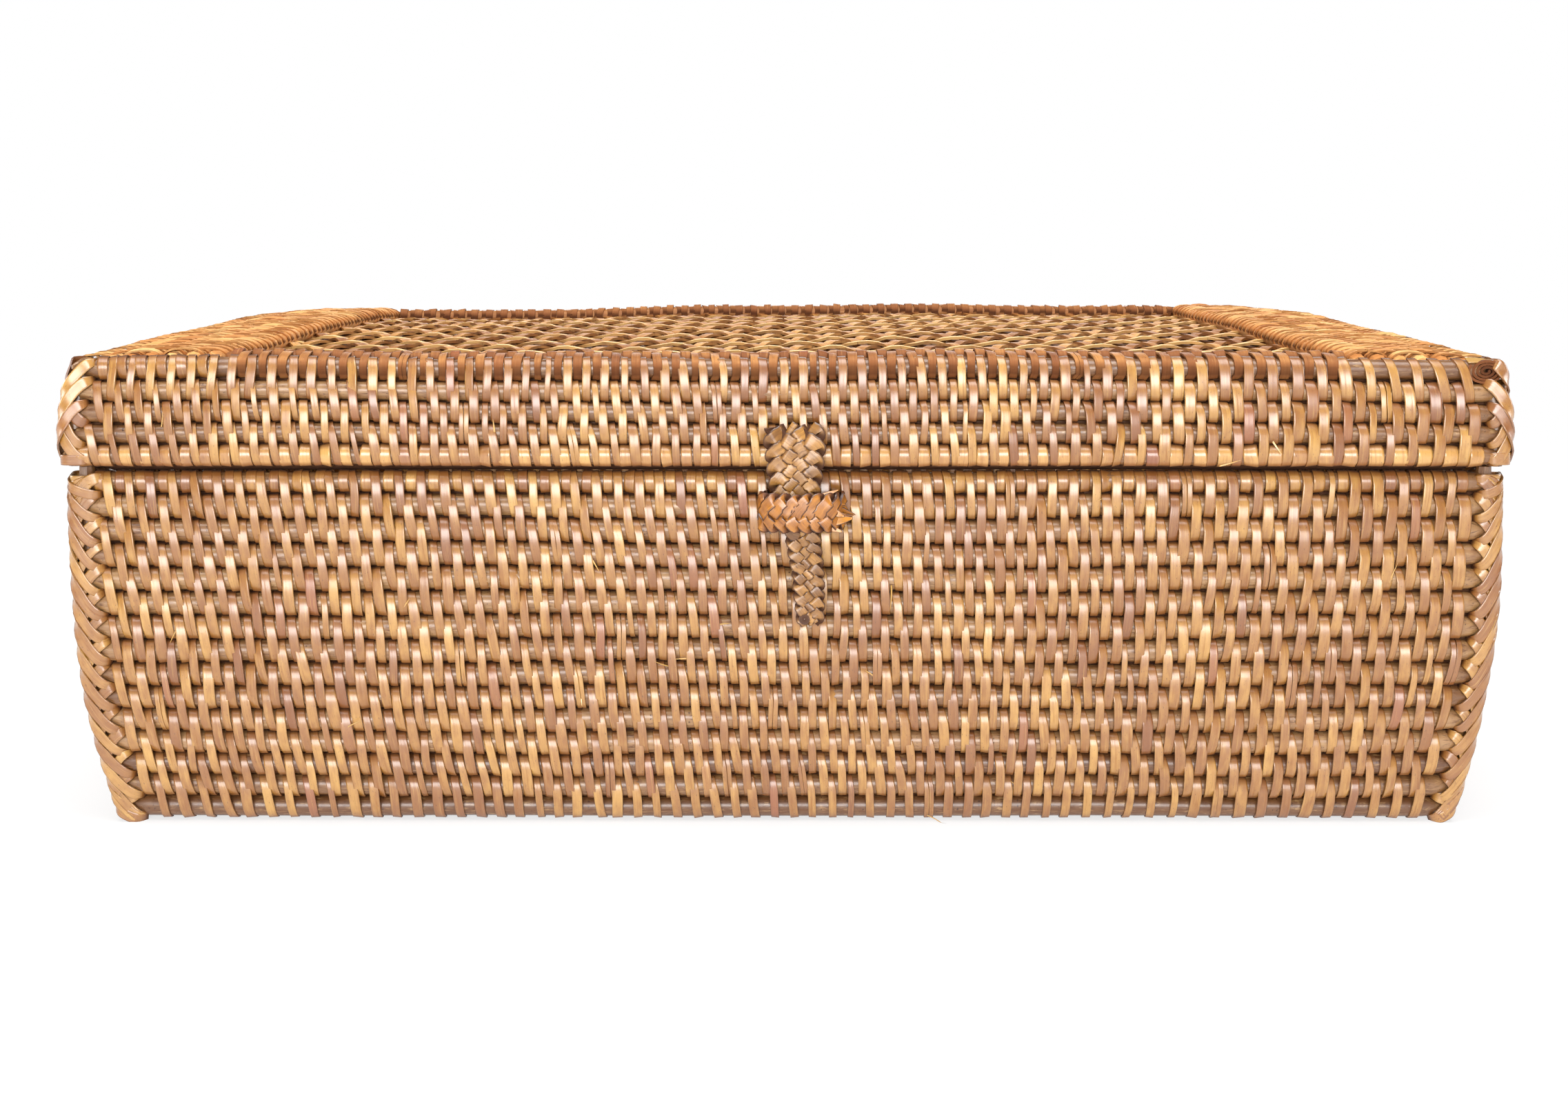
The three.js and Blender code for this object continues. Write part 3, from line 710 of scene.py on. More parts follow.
def cane_finish(name, colours, gloss, fibre, rough, coat=0.0, speck=0.5, streak=(0.07, 1.9), margin=EDGE_SHADE):
    """Split or whole cane: fine lengthwise fibres, specks, tone by the cane, and painted shade where it tucks
    in.

    margin is where across a strip its painted shade along the side starts and is full, and how dark that is.
    """
    material = bpy.data.materials.new(name)
    f = Finish(material)
    pale, warm, deep, red, dark_fibre_and_shade = (colour(*c) for c in (*colours, DARK_FIBRE_AND_SHADE))
    grain = f.node("UVMap", {"uv_map": "cane"})
    look = f.node("Attribute", {"attribute_name": "look"})
    parts = f.node("SeparateColor", inputs={"Color": look}).socket.node.outputs
    tone, blush, tuck_shade = (Value(f, parts[i]) for i in range(3))
    edge = Value(f, look.socket.node.outputs["Alpha"])

    lines = f.noise(grain, streak, 3, 0.7)
    hair = f.noise(grain, (0.22, 9.0), 2, 0.6)
    cloud = f.noise(grain, (0.22, 0.5), 2, 0.5)
    dots = f.noise(grain, (1.3, 3.0), 1, 0.4)

    body = f.mix((tone + (cloud - 0.5) * 0.4).ramp(0.15, 0.85), deep, warm)
    body = f.mix((tone + (cloud - 0.5) * 0.5).ramp(0.40, 1.05), body, pale)
    body = f.mix((blush + (lines - 0.5) * 0.25).ramp(0.40, 0.95), body, red)
    body = f.mix(lines.ramp(0.50, 0.72) * fibre, body, deep)
    body = f.mix(lines.ramp(0.46, 0.28) * (fibre * 0.7), body, pale)
    body = f.mix(hair.ramp(0.60, 0.78) * (fibre * 0.8), body, dark_fibre_and_shade)
    body = f.mix(hair.ramp(0.42, 0.22) * (fibre * 0.45), body, pale)
    body = f.mix(dots.ramp(0.66, 0.76) * speck, body, dark_fibre_and_shade)
    # painted shade along the sides of a strip
    body = f.mix((edge + (lines - 0.5) * 0.15).ramp(*margin[:2]) * margin[2], body, dark_fibre_and_shade)
    # painted shade where a cane tucks in behind its neighbours: deeper first, then near black
    body = f.mix((tuck_shade + (cloud - 0.5) * 0.2).ramp(0.08, 0.50) * 0.7, body, deep)
    body = f.mix((tuck_shade + (cloud - 0.5) * 0.3).ramp(0.35, 1.10) * 0.85, body, dark_fibre_and_shade)

    roughness = rough + (lines - 0.5) * 0.25 + (hair - 0.5) * 0.15 + tuck_shade * 0.5
    height = lines * 0.6 + hair * 0.4
    bump = f.node("Bump", None, {"Strength": 0.3, "Distance": FIBRE_HEIGHT, "Height": height})
    f.shade(Base_Color=body, Roughness=roughness, Specular_IOR_Level=gloss, Normal=bump)
    if coat:
        weight = (1 - tuck_shade) * coat * (1 - lines.ramp(0.5, 0.75) * 0.75)
        f.shade(Coat_Weight=weight, Coat_Roughness=COAT_ROUGHNESS, Coat_IOR=COAT_IOR)
    return material


# Of each the pale, warm, deep and red colours, the gloss, fibre and roughness, and what else is its own
CANES = {
    "sewing_strip": (((206, 160, 80), (176, 122, 48), (132, 76, 25), (146, 84, 44)), 0.55, 0.5, 0.42,
                     {"coat": 1.0}),
    "cane_rod": (((180, 142, 95), (148, 105, 62), (100, 61, 31), (153, 106, 76)), 0.45, 1.0, 0.45,
                 {"coat": 0.5, "speck": 0.8, "streak": (0.22, 2.4)}),
    "amber_binding": (((211, 162, 86), (188, 133, 64), (138, 84, 39), (138, 76, 44)), 0.6, 0.5, 0.36,
                      {"coat": 1.0}),
    "top_strip": (((246, 200, 134), (228, 166, 98), (180, 114, 60), (188, 116, 64)), 0.15, 0.6, 0.75, {}),
    "open_strip": (((238, 188, 114), (196, 134, 66), (134, 80, 34), (144, 84, 44)), 0.25, 0.5, 0.6, {}),
    "pale_plait": (((214, 158, 82), (164, 112, 48), (92, 52, 16), (160, 102, 50)), 0.5, 0.5, 0.40,
                   {"coat": 0.4, "margin": PLAIT_EDGE_SHADE}),
    "golden_plait": (((212, 142, 48), (168, 100, 26), (104, 52, 11), (158, 90, 40)), 0.5, 0.5, 0.36,
                     {"coat": 0.5, "margin": PLAIT_EDGE_SHADE}),
    "edge_strip": (((206, 148, 84), (178, 118, 60), (128, 74, 36), (146, 84, 48)), 0.35, 0.6, 0.55, {}),
}
canes = {name: cane_finish(name, *given, **own) for name, (*given, own) in CANES.items()}
WEAVE = [canes[name] for name in ("sewing_strip", "cane_rod", "amber_binding", "top_strip", "edge_strip")]


# ---- walls
# Which way each wall runs, and which way it faces
WALLS = {"front": (EAST, SOUTH), "right": (NORTH, EAST), "back": (WEST, NORTH), "left": (SOUTH, WEST)}
MITRE, RIM_MITRE = 0.80, 0.93  # girth of a mitred end, as a share of the rod's
HINGE_AT = 96.0  # left and right of the middle
HINGE_ROOM = 6.6  # left bare to each side of there
SEAM_SHADE_CANE = (2.6, 4.5, 1.9)  # in and up from the rim rod, and its own girth


def wall_rows(side, spots):
    """A wall's rows from their (out, up) at the ends of the box, and how far they reach left and right."""
    out = WALLS[side][1]
    nearer, shorter = (SIDE_DIFFERENCE, 0) if side in ("front", "back") else (0, SIDE_DIFFERENCE)
    return np.array([out * (o - nearer) + UP * z for o, z in spots]), [o - shorter for o, _ in spots]


# On the front, strips lean one way left of the middle and the other way, less, on the right. The
# sewing is closest in the middle and most open at the right.
body_front_lean = varying((-170, -20, 40, 170), (-0.10, -0.07, -0.02, 0.05))
body_front_pitch = varying((-90, -20, 60, 120), (5.6, 5.1, 5.2, 6.0))
lid_front_leans = [varying((-170, -60, 20, 140, 170), leans) for leans in (
    (-0.05, -0.05, -0.05, -0.05, -0.05), (0.10, 0.0, -0.03, -0.05, -0.30),
    (-0.12, -0.09, -0.05, -0.02, -0.12), (-0.02, -0.04, -0.05, -0.02, -0.02),
    (-0.10, -0.10, -0.06, 0.0, 0.03))]
lid_front_pitch = varying((50, 120), (4.9, 6.1))
other_lean = steady(-0.05)

hinge_gaps = [(at - HINGE_ROOM, at + HINGE_ROOM) for at in (-HINGE_AT, HINGE_AT)]
FIBRES_REACH = 165

for side, (along, out) in WALLS.items():
    rows, reaches = wall_rows(side, body_spots)
    halves = [reach - CORNER_ROOM for reach in reaches]
    front = side == "front"
    lean, pitch_at = (body_front_lean, body_front_pitch) if front else (other_lean, steady(STITCH_PITCH))
    gaps = hinge_gaps if side == "back" else []
    mitres = [(RIM_MITRE, RIM_MITRE)] + [(MITRE, MITRE)] * BODY_ROWS
    weave = Bundle()
    lay_rods(weave, rows, body_rods, [(-r, r) for r in reaches], along, [out] * len(rows), mitres)
    shade_canes_in_gaps(weave, rows, reaches, along, out)
    # A cane painted in shade behind the seam between body and lid, standing for the shade seen through it.
    seam_shade_cane = rows[0] + SEAM_SHADE_CANE[1] * UP - SEAM_SHADE_CANE[0] * out  # keeps the seam dark
    stops = [-reaches[0] + CORNER_ROOM, *np.ravel(gaps), reaches[0] - CORNER_ROOM]
    for stretch in zip(stops[::2], stops[1::2]):
        lay_rods(weave, [seam_shade_cane], [SEAM_SHADE_CANE[2]], [stretch], along, [out], wander=0.06, tuck_shade=GAP_SHADE)
    places = sew_rows(weave, rows, body_rods, halves, along, pitch_at, [lean] * BODY_ROWS, gaps)
    at = outside(between(places[0]), gaps)
    bind_row(weave, rows[0], RIM_ROD, at, along, out, STRIP_FINISH, share=0.46, mean=0.48)
    if front:
        stray_fibres(weave, rows, FIBRES_REACH, 16)
    weave.make(f"body_{side}_weave", "box", WEAVE, [f"body_wall_{side}", f"body_rim_{side}"])


CUT_END_DEPTH = 2.6
ROLL_TURNS = 3.7


def wound_end(bundle, middle, finish, reach, stretch, depth, tone, dark):
    """The end of a wound cane, seen from the front: a strip rolled up round a middle painted in shade."""
    u = np.linspace(0, 1, SPIRAL.steps + 1)
    angle = 0.7 - 2 * math.pi * ROLL_TURNS * u
    outward = np.stack((np.cos(angle), 0 * u, np.sin(angle)), 1)
    spine = np.array(middle) + outward * (reach * (0.12 + 0.88 * u))[:, None] * (stretch, 1, 1)
    # painted shade, deepest in the middle of the roll
    tuck_shade = dark * (1 - 0.45 * u)
    bundle.lay(SPIRAL, spine, *bearings(spine, outward), depth, 0.2 * reach, finish, tone, 0.3, tuck_shade)


edge_stop = node_box("lid_edge_front")[1][0]
edge_through = -node_box("lid_edge_right")[0][1]
top_end = node_box("lid_top_rod_front")[1][0]
for side, (along, out) in WALLS.items():
    front, on_ends = side == "front", side in ("left", "right")
    drops = BAND_DROPS if on_ends else (0,)
    flat = len(drops)
    flat_end = band_high[1] - 0.1 if on_ends else top_end - 0.2
    flat_spots = [(band_out - LID_PITCH * j, top_z - drop) for j, drop in enumerate(drops)]
    rows, reaches = wall_rows(side, flat_spots[::-1] + lid_spots)
    reaches = reaches[flat:]
    girths = [LID_ROD] * flat + [EDGE_ROD] + [LID_ROD] * 3 + [LID_RIM_ROD]
    ends = [(-flat_end, flat_end)] * flat + [(-r, r) for r in reaches]
    mitres = [(0, 0)] * flat + [(MITRE, MITRE)] * 4 + [(RIM_MITRE, RIM_MITRE)]
    if front:
        ends[flat], mitres[flat] = (-reaches[0], edge_stop), (MITRE, 0)
    if side == "right":
        ends[flat], mitres[flat] = (CUT_END_DEPTH - edge_through, reaches[0]), (0, MITRE)
    halves = [flat_end - FLAT_BARE] * flat + [reach - CORNER_ROOM for reach in reaches]
    outs = [UP] * flat + [unit(out + 0.5 * UP)] + [out] * 4
    leans, pitch_at = [other_lean] * len(rows), steady(LID_STITCH_PITCH)
    if front:
        leans, pitch_at = lid_front_leans, lid_front_pitch
    gaps = hinge_gaps if side == "back" else []
    weave = Bundle()
    flat_finish, flat_tone = (TOP_FINISH, 0.55) if on_ends else (EDGE_FINISH, 0.5)
    lay_rods(weave, rows, girths, ends, along, outs, mitres, flat=flat, flat_finish=flat_finish)
    shade_canes_in_gaps(weave, rows[flat:], reaches, along, out)
    last = len(rows) - 2
    finishes = [(flat_finish, flat_tone)] * flat + [(STRIP_FINISH, 0.5)] * 4
    places = sew_rows(weave, rows, girths, halves, along, pitch_at, leans, gaps, last, flat - 1, finishes)
    at = outside(between(places[-1]), gaps)
    bind_row(weave, rows[-1], LID_RIM_ROD, at, along, out, BINDING_FINISH, share=0.58, mean=0.6)
    if not on_ends:
        on_top = [(-top_end, 2 * top_end if front else top_end)]  # and clear of the front rod's cut end
        at = outside(between(places[1]), on_top)
        bind_row(weave, rows[1], EDGE_ROD, at, along, out, STRIP_FINISH, share=0.55, mean=0.45)
        at = places[1][np.abs(places[1]) < halves[0]]
        bind_row(weave, rows[0], LID_ROD, at, along, UP, EDGE_FINISH, share=0.5, mean=0.4)
    if side == "right":
        middle = (edge_out - 1.9, CUT_END_DEPTH / 2 - edge_through, edge_z - 0.1)
        wound_end(weave, middle, EDGE_FINISH, reach=3.0, stretch=1.5, depth=CUT_END_DEPTH, tone=0.15,
                  dark=0.95)
    if front:
        stray_fibres(weave, rows[2:], FIBRES_REACH, 6)
    nodes = [f"lid_{part}_{side}" for part in ("rim", "skirt", "edge", "band" if on_ends else "top_rod")]
    weave.make(f"lid_{side}_weave", "lid", WEAVE, nodes)


# ---- floor: rods from end to end, sewn as the walls are
FLOOR_RODS = 39
FLOOR_RADIUS = 2.62
FLOOR_PITCH = 7.5
FLOOR_BROAD = 1.42
floor_side = node_box("body_floor")[1][0] - 2
floor_edge = body_out[-1] - SIDE_DIFFERENCE - 5.4
floor_end = body_out[-1] - 2.0
floor_rows = np.array([(0, y, FLOOR_RADIUS + 0.02) for y in np.linspace(floor_edge, -floor_edge, FLOOR_RODS)])
floor_rods = [FLOOR_RADIUS - STRIP] * FLOOR_RODS
ends = [(-floor_end, floor_end)] * FLOOR_RODS
floor = Bundle()
lay_rods(floor, floor_rows, floor_rods, ends, EAST, [UP] * FLOOR_RODS, wander=0.06, broad=FLOOR_BROAD)
sew_rows(floor, floor_rows, floor_rods, [floor_side] * FLOOR_RODS, EAST, steady(FLOOR_PITCH),
         [other_lean] * FLOOR_RODS)
floor.make("floor_weave", "box", WEAVE, ["body_floor"], sway=False)


# ---- corners
CORNER_ROUND = 2.0
LASH_WIDTH = 2.7
BODY_LEG, LID_LEG = 7.2, 6.6  # how far a strip reaches from the corner


def lash_corner(bundle, x_sign, y_sign, strips, out_of, girth, leg):
    """Strips round a corner. Each has a level on the front or back, one on the end, and a layer."""
    u = np.linspace(0, 1, LASH.steps + 1)
    steep = u - 0.12 * np.sin(2 * math.pi * u)
    quarter = CORNER_ROUND * math.pi / 2
    ends = np.clip((np.abs(2 * u - 1) - 0.74) / 0.26, 0, 1)
    for face_z, end_z, layer in strips:
        reach = leg * rng.normal(1, 0.06)
        z = face_z + rng.normal(0, 0.2) + (end_z - face_z) * steep
        q = (2 * u - 1) * reach
        turn = np.clip((q + quarter / 2) / CORNER_ROUND, 0, math.pi / 2)
        on_face = np.maximum(-q - quarter / 2, 0)
        on_end = np.maximum(q - quarter / 2, 0)
        dive = 2.4 * ends**1.6
        out = out_of(z) + girth + STRIP / 2 + layer - CORNER_ROUND
        x = out + CORNER_ROUND * np.sin(turn) - on_face - np.where(on_end > 0, dive, 0)
        y = out - SIDE_DIFFERENCE + CORNER_ROUND * np.cos(turn) - on_end - np.where(on_face > 0, dive, 0)
        spine = np.stack((x_sign * x, y_sign * y, z), 1)
        normal = np.stack((x_sign * np.sin(turn), y_sign * np.cos(turn), 0 * q), 1)
        width = LASH_WIDTH * rng.normal(1, 0.08) * (1 - 0.45 * ends)
        tone, blush = share_near(0.5, 0.1), share_near(0.25, 0.15)
        # painted shade at the strip's ends, where it dives in under the rods
        tuck_shade = 0.8 * ends**2
        bundle.lay(LASH, spine, *bearings(spine, normal), width, STRIP, STRIP_FINISH, tone, blush, tuck_shade)


POST_RADIUS = 2.2


def corner_post(bundle, x_sign, y_sign, low, high, out_of):
    """A cane standing in the corner, behind the mitred ends."""
    z = np.linspace(low, high, ROD.steps + 1)
    out = out_of(z) - 0.5
    spine = np.stack((x_sign * out, y_sign * (out - SIDE_DIFFERENCE), z), 1)
    bundle.lay(ROD, spine, EAST, NORTH, POST_RADIUS, POST_RADIUS, ROD_FINISH, 0.4, 0.3)


def profile(spots):
    """How far out a wall stands at a height, from its rows as (out, up), the top one first."""
    outs, heights = zip(*spots[::-1])
    return varying(heights, outs)


def joints(spots):
    return [(a[1] + b[1]) / 2 for a, b in zip(spots, spots[1:])]


body_out_at, lid_out_at = profile(body_spots), profile(lid_spots)
ROWS_CROSSED = 3  # a lashing strip climbs this many rows on its way round the corner
UNDER, OVER = 0.0, 0.42


def body_lashing(top):
    """Levels of the strips at a corner of the body, up to the one round the rim."""
    levels = [top] * ROWS_CROSSED + joints(body_spots) + [0.9] * ROWS_CROSSED
    strips = []
    for low, high in zip(levels[ROWS_CROSSED:], levels):
        strips += [(high, low, UNDER), (low, high, OVER)]
    return strips + [(top - 0.3, top - 0.3, UNDER)]


def lid_lashing(bottom):
    """Levels of the strips at a corner of the lid, down to the one round the rim."""
    levels = [edge_z + 1.9] + joints(lid_spots) + [bottom]
    climbs = list(zip(levels[ROWS_CROSSED:], levels))
    strips = [(low, high, UNDER) for low, high in climbs] + [(high, low, OVER) for low, high in climbs]
    return strips + [(bottom + 0.5, bottom + 0.5, UNDER)]


# Top of the body's lashings, bottom of the lid's and top of the body's post. At the back they leave
# room for the lid's swing.
AT_RIMS = {
    "front": (rim_z + 1.2, lid_rim_z - 1.3, rim_z + 3.9),
    "back": (rim_z - 1.0, lid_rim_z + 0.6, rim_z),
}
for y_side, y_sign in (("front", -1), ("back", 1)):
    for x_side, x_sign, share in (("left", -1, 1.0), ("right", 1, 0.8)):  # strips are shorter at the right
        body_top, lid_bottom, post_end = AT_RIMS[y_side]
        lashing = Bundle()
        strips = body_lashing(body_top)
        lash_corner(lashing, x_sign, y_sign, strips, body_out_at, BODY_ROD, BODY_LEG * share)
        corner_post(lashing, x_sign, y_sign, 1.0, post_end, body_out_at)
        corner = f"{y_side}_{x_side}"
        lashing.make(f"body_{corner}_lashing", "box", WEAVE, [f"body_lashing_{corner}"])
        lashing = Bundle()
        strips, post_top = lid_lashing(lid_bottom), edge_z + 1.0
        if corner == "front_right":  # the cut end of the edge rod shows here
            strips, post_top = [strip for strip in strips if strip[0] < edge_z], edge_z - 3.2
            short = [(edge_z + 2.0, edge_z - 4.5, OVER)]
            lash_corner(lashing, x_sign, y_sign, short, lid_out_at, LID_ROD, leg=3.0)
            roll_start = (edge_out - 6.4, 2.0 - edge_through, edge_z + 2.5)
            loose_strip(lashing, roll_start, heading=(1, 0, 0.02), lift=(0, -0.35, 1), length=7.6, width=3.4,
                        curl=-0.8, tone=0.8)
        corner_post(lashing, x_sign, y_sign, lid_bottom - 1.3, post_top, lid_out_at)
        lash_corner(lashing, x_sign, y_sign, strips, lid_out_at, LID_ROD, LID_LEG * share)
        lashing.make(f"lid_{corner}_lashing", "lid", WEAVE, [f"lid_lashing_{corner}"])


# ---- openwork
NET_PITCH = 16.0
NET_WAVE = 0.75
NET_STRIP_WIDTH, NET_THICKNESS = 2.9, 0.75
NET_SHORTEST = 8
NET_TONES = (0.82, 0.48, 0.48)
net_low, net_high = node_box("lid_openwork")
net_half = net_high[:2] + (2.2, 2.2)
net_z = net_low[2] - 1.0


def net_strips(bundle):
    """Three families of strips at 60 degrees, each over the next family and under the last."""
    normals = [np.array((math.cos(a), math.sin(a))) for a in np.radians((90, 210, 330))]
    starts = (0.5, 0.0, 0.0)
    stations = np.linspace(0, 1, NET_STRIP.steps + 1)
    for family, (normal, start, mean) in enumerate(zip(normals, starts, NET_TONES)):
        forward = np.array((-normal[1], normal[0]))
        following, following_start = normals[(family + 1) % 3], starts[(family + 1) % 3]
        span = int(np.abs(normal) @ net_half / NET_PITCH) + 1
        for line in range(-span, span + 1):
            foot = normal * (line + start) * NET_PITCH
            cuts = np.sort([(end * net_half - foot) / forward for end in (-1, 1)], axis=0)
            low, high = cuts[0].max(), cuts[1].min()
            if high - low < NET_SHORTEST:
                continue
            travel = low + (high - low) * stations
            plan = foot + travel[:, None] * forward
            plan = plan + normal * (Drift(60, 0.18)(travel))[:, None]
            wave = np.cos(2 * math.pi * (plan @ following / NET_PITCH - following_start))
            z = net_z + NET_WAVE * wave
            spine = np.concatenate((plan, z[:, None]), 1)
            side = np.array((*normal, 0.0))
            ahead = np.gradient(spine, axis=0)
            face = unit(np.cross(ahead, side))
            if face[0][2] < 0:
                side, face = -side, -face
            tone = share_near(mean, 0.1)
            width = NET_STRIP_WIDTH * rng.normal(1, 0.06)
            blush = rng.uniform(0.05, 0.4)
            # painted shade where the strip dips under the next family
            tuck_shade = np.clip(0.22 - 0.45 * wave, 0, 1)
            bundle.lay(NET_STRIP, spine, side, face, width, NET_THICKNESS, ONLY_FINISH, tone, blush, tuck_shade)


net = Bundle()
net_strips(net)
net.make("lid_net", "lid", [canes["open_strip"]], ["lid_openwork"])


# ---- clasp
def plait_height(u, count, order=None):
    """Over and under along one strand's zigzag, +1 on top and -1 below.

    order gives the crossings there and back; without it they alternate.
    """
    keys = [half + crossing / (2 * count) for half in (0, 0.5) for crossing in range(1, count)]
    if order is None:
        there = [1 if crossing % 2 == 0 else -1 for crossing in range(1, count)]
        order = there + [-sign for sign in there[::-1]]
    signs = list(order)
    keys = np.array([keys[-1] - 1] + keys + [keys[0] + 1])
    signs = np.array([signs[-1]] + signs + [signs[0]], float)
    at = np.clip(np.searchsorted(keys, u, side="right") - 1, 0, len(keys) - 2)
    share = (u - keys[at]) / (keys[at + 1] - keys[at])
    ease = (1 - np.cos(math.pi * np.clip(share, 0, 1))) / 2
    return signs[at] + (signs[at + 1] - signs[at]) * ease


FOLD = 2.6  # how sharply a flat strand folds between over and under
ROUNDING = 0.95  # below 1, strands turn in a curve at the edges
TILT = 0.14  # how far a strand lies out of the flat where it shows


def plait(bundle, count, line, across, face, half, turn, strand, thick, wave, lead, tone, tuck_ends=0.0,
          order=None):
    """Strands crossing over and under along a line; half is how far their middles swing to each side."""
    stations = PLAIT_STRAND.steps + 1
    steps = np.linalg.norm(np.diff(line, axis=0), axis=1)
    travel = np.concatenate(([0], np.cumsum(steps)))
    at = np.linspace(0, travel[-1], stations)

    def along(values):
        return np.stack([np.interp(at, travel, column) for column in np.asarray(values).T], 1)

    middle, cross, out = along(line), unit(along(across)), unit(along(face))
    swing = np.interp(at, travel, half)
    ends = np.clip(1 - at / 2.5, 0, 1) * tuck_ends
    for strand_index in range(count):
        u = (at / turn + strand_index / count + lead) % 1
        saw = np.abs(2 * u - 1) * 2 - 1
        sideways = np.arcsin(ROUNDING * np.sin(saw * math.pi / 2)) / math.asin(ROUNDING)
        height = np.tanh(FOLD * plait_height(u, count, order)) / math.tanh(FOLD)
        spine = middle + cross * (swing * sideways)[:, None] + out * (wave * height - ends)[:, None]
        side, up = bearings(spine, out)
        tilt = (Drift(4.0, TILT)(at) * np.clip(height, 0, 1))[:, None]
        side, up = side * np.cos(tilt) + up * np.sin(tilt), up * np.cos(tilt) - side * np.sin(tilt)
        # painted shade where a strand dips under its neighbours
        tuck_shade = np.clip(0.66 - 0.95 * height, 0, 1)
        width = strand * rng.normal(1, 0.04) * (1 + 0.06 * height)
        thickness = thick * (1 + 0.25 * height)
        strand_tone, blush = share_near(tone, 0.06), rng.uniform(0.05, 0.35)
        bundle.lay(PLAIT_STRAND, spine, side, up, width, thickness, ONLY_FINISH, strand_tone, blush, tuck_shade)


STRAP_POINTS = 30
strap = Bundle()
tab_high, tongue_low = node_box("clasp_tab")[1], node_box("clasp_tongue")[0]
keeper_low, keeper_high = node_box("clasp_keeper")


def strap_plait(count, top, bottom, sideways, outward, half, **weave):
    """A hanging plait. Its line and its swing are given at a few heights."""
    z = np.linspace(top, bottom, STRAP_POINTS)
    x, y, half = (np.interp(-z, -np.array(at), values) for at, values in (sideways, outward, half))
    line = np.stack((x, y, z), 1)
    plait(strap, count, line, [EAST] * STRAP_POINTS, [SOUTH] * STRAP_POINTS, half, **weave)


strap_plait(5, tab_high[2] + 1.2, keeper_low[2] + 4.0, ((103, 88, 78), (2.3, 2.6, 3.6)),
            ((104, 101, 95, 86, 80), (-124.9, -125.9, -126.0, -125.7, -125.2)),
            ((104, 99, 88, 80), (5.6, 6.1, 4.7, 3.4)),
            turn=17.5, strand=3.55, thick=0.45, wave=0.38, lead=0.1, tone=0.6, tuck_ends=1.2)
strap_plait(4, keeper_high[2] - 2.0, tongue_low[2] + 0.8, ((86, 77, 65, 53), (3.3, 4.3, 5.9, 6.3)),
            ((86, 77, 62, 53), (-125.2, -125.2, -124.9, -124.6)),
            ((86, 77, 64, 56, 53), (3.3, 3.3, 2.75, 2.5, 1.5)),
            turn=11.2, strand=2.65, thick=0.5, wave=0.42, lead=0.3, tone=0.58)
roll = (4.9, -124.9, tongue_low[2] + 2.0)
wound_end(strap, roll, ONLY_FINISH, reach=1.35, stretch=1.0, depth=1.6, tone=0.2, dark=0.8)
bend = ("lid", "tongue", (0.003, -0.1255, 0.0943), (0.003, -0.1255, 0.0912))
nodes = ["clasp_tab", "clasp_tongue"]
strap.make("clasp_strap", bend, [canes["pale_plait"]], nodes, sway=False)

keeper = Bundle()
keeper_z = (keeper_low[2] + keeper_high[2]) / 2
keeper_front = keeper_low[1] + 0.9
keeper_plan = np.array((
    (-4.4, -122.2), (-5.7, -124.0), (-5.9, -126.2), (-4.6, -128.3), (-2.0, keeper_front),
    (2.0, keeper_front - 0.1), (6.5, keeper_front - 0.1), (10.2, keeper_front + 0.1),
    (12.6, -127.7), (13.7, -125.6), (14.6, -124.0)))
for _ in range(2):
    quarter = 0.75 * keeper_plan[:-1] + 0.25 * keeper_plan[1:]
    three = 0.25 * keeper_plan[:-1] + 0.75 * keeper_plan[1:]
    inner = np.stack((quarter, three), 1).reshape(-1, 2)
    keeper_plan = np.concatenate((keeper_plan[:1], inner, keeper_plan[-1:]))
keeper_line = np.concatenate((keeper_plan, np.full((len(keeper_plan), 1), keeper_z)), 1)
keeper_face = unit(np.cross(unit(np.gradient(keeper_line, axis=0)), UP))
keeper_half = np.full(len(keeper_line), 3.5)
CHEVRON = (-1, -1, 1, -1, 1, 1)  # strands come up on top at both edges
keeper_across = [UP] * len(keeper_line)
plait(keeper, 4, keeper_line, keeper_across, keeper_face, keeper_half,
      turn=11.0, strand=2.85, thick=0.5, wave=0.5, lead=0.2, tone=0.6, order=CHEVRON)
for _ in range(5):
    start = (rng.uniform(11.4, 13.0), -127.2 + rng.uniform(-0.5, 0.8), keeper_z + rng.uniform(-4.2, 4.2))
    heading = (1, rng.uniform(-0.1, 0.25), rng.uniform(-0.5, 0.7))
    lift = (0, -1, rng.uniform(-0.5, 0.8))
    length, width, curl = rng.uniform(2.5, 5.0), rng.uniform(0.6, 1.4), rng.uniform(-0.4, 0.8)
    loose_strip(keeper, start, heading, lift, length, width, curl)
for start, heading, lift, length, width, curl in (
        ((11.2, -128.0, keeper_z - 2.2), (1, -0.05, 0.12), (0, -1, 0.35), 5.4, 2.7, 1.2),
        ((11.0, -128.2, keeper_z + 0.6), (1, -0.05, -0.45), (0, -1, 0.2), 3.8, 2.2, 0.7),
        ((8.6, -127.6, keeper_z + 3.9), (1, 0.0, 0.35), (0, -1, 0.3), 4.8, 1.3, 0.5),
        ((10.4, -128.2, keeper_z - 3.6), (1, 0.0, -0.3), (0, -1, 0.1), 3.8, 1.8, 0.4),
        ((-4.9, -126.8, keeper_z - 3.0), (0.1, -0.1, -1), (1, 0, 0), 2.6, 0.4, 1.3),
        ((-4.2, -127.4, keeper_z - 3.2), (0.0, -0.1, -1), (1, 0, 0.4), 2.2, 0.35, 1.5)):
    loose_strip(keeper, start, heading, lift, length, width, curl, tone=0.85)
keeper.make("clasp_loop", "box", [canes["golden_plait"]], ["clasp_keeper"], sway=False)


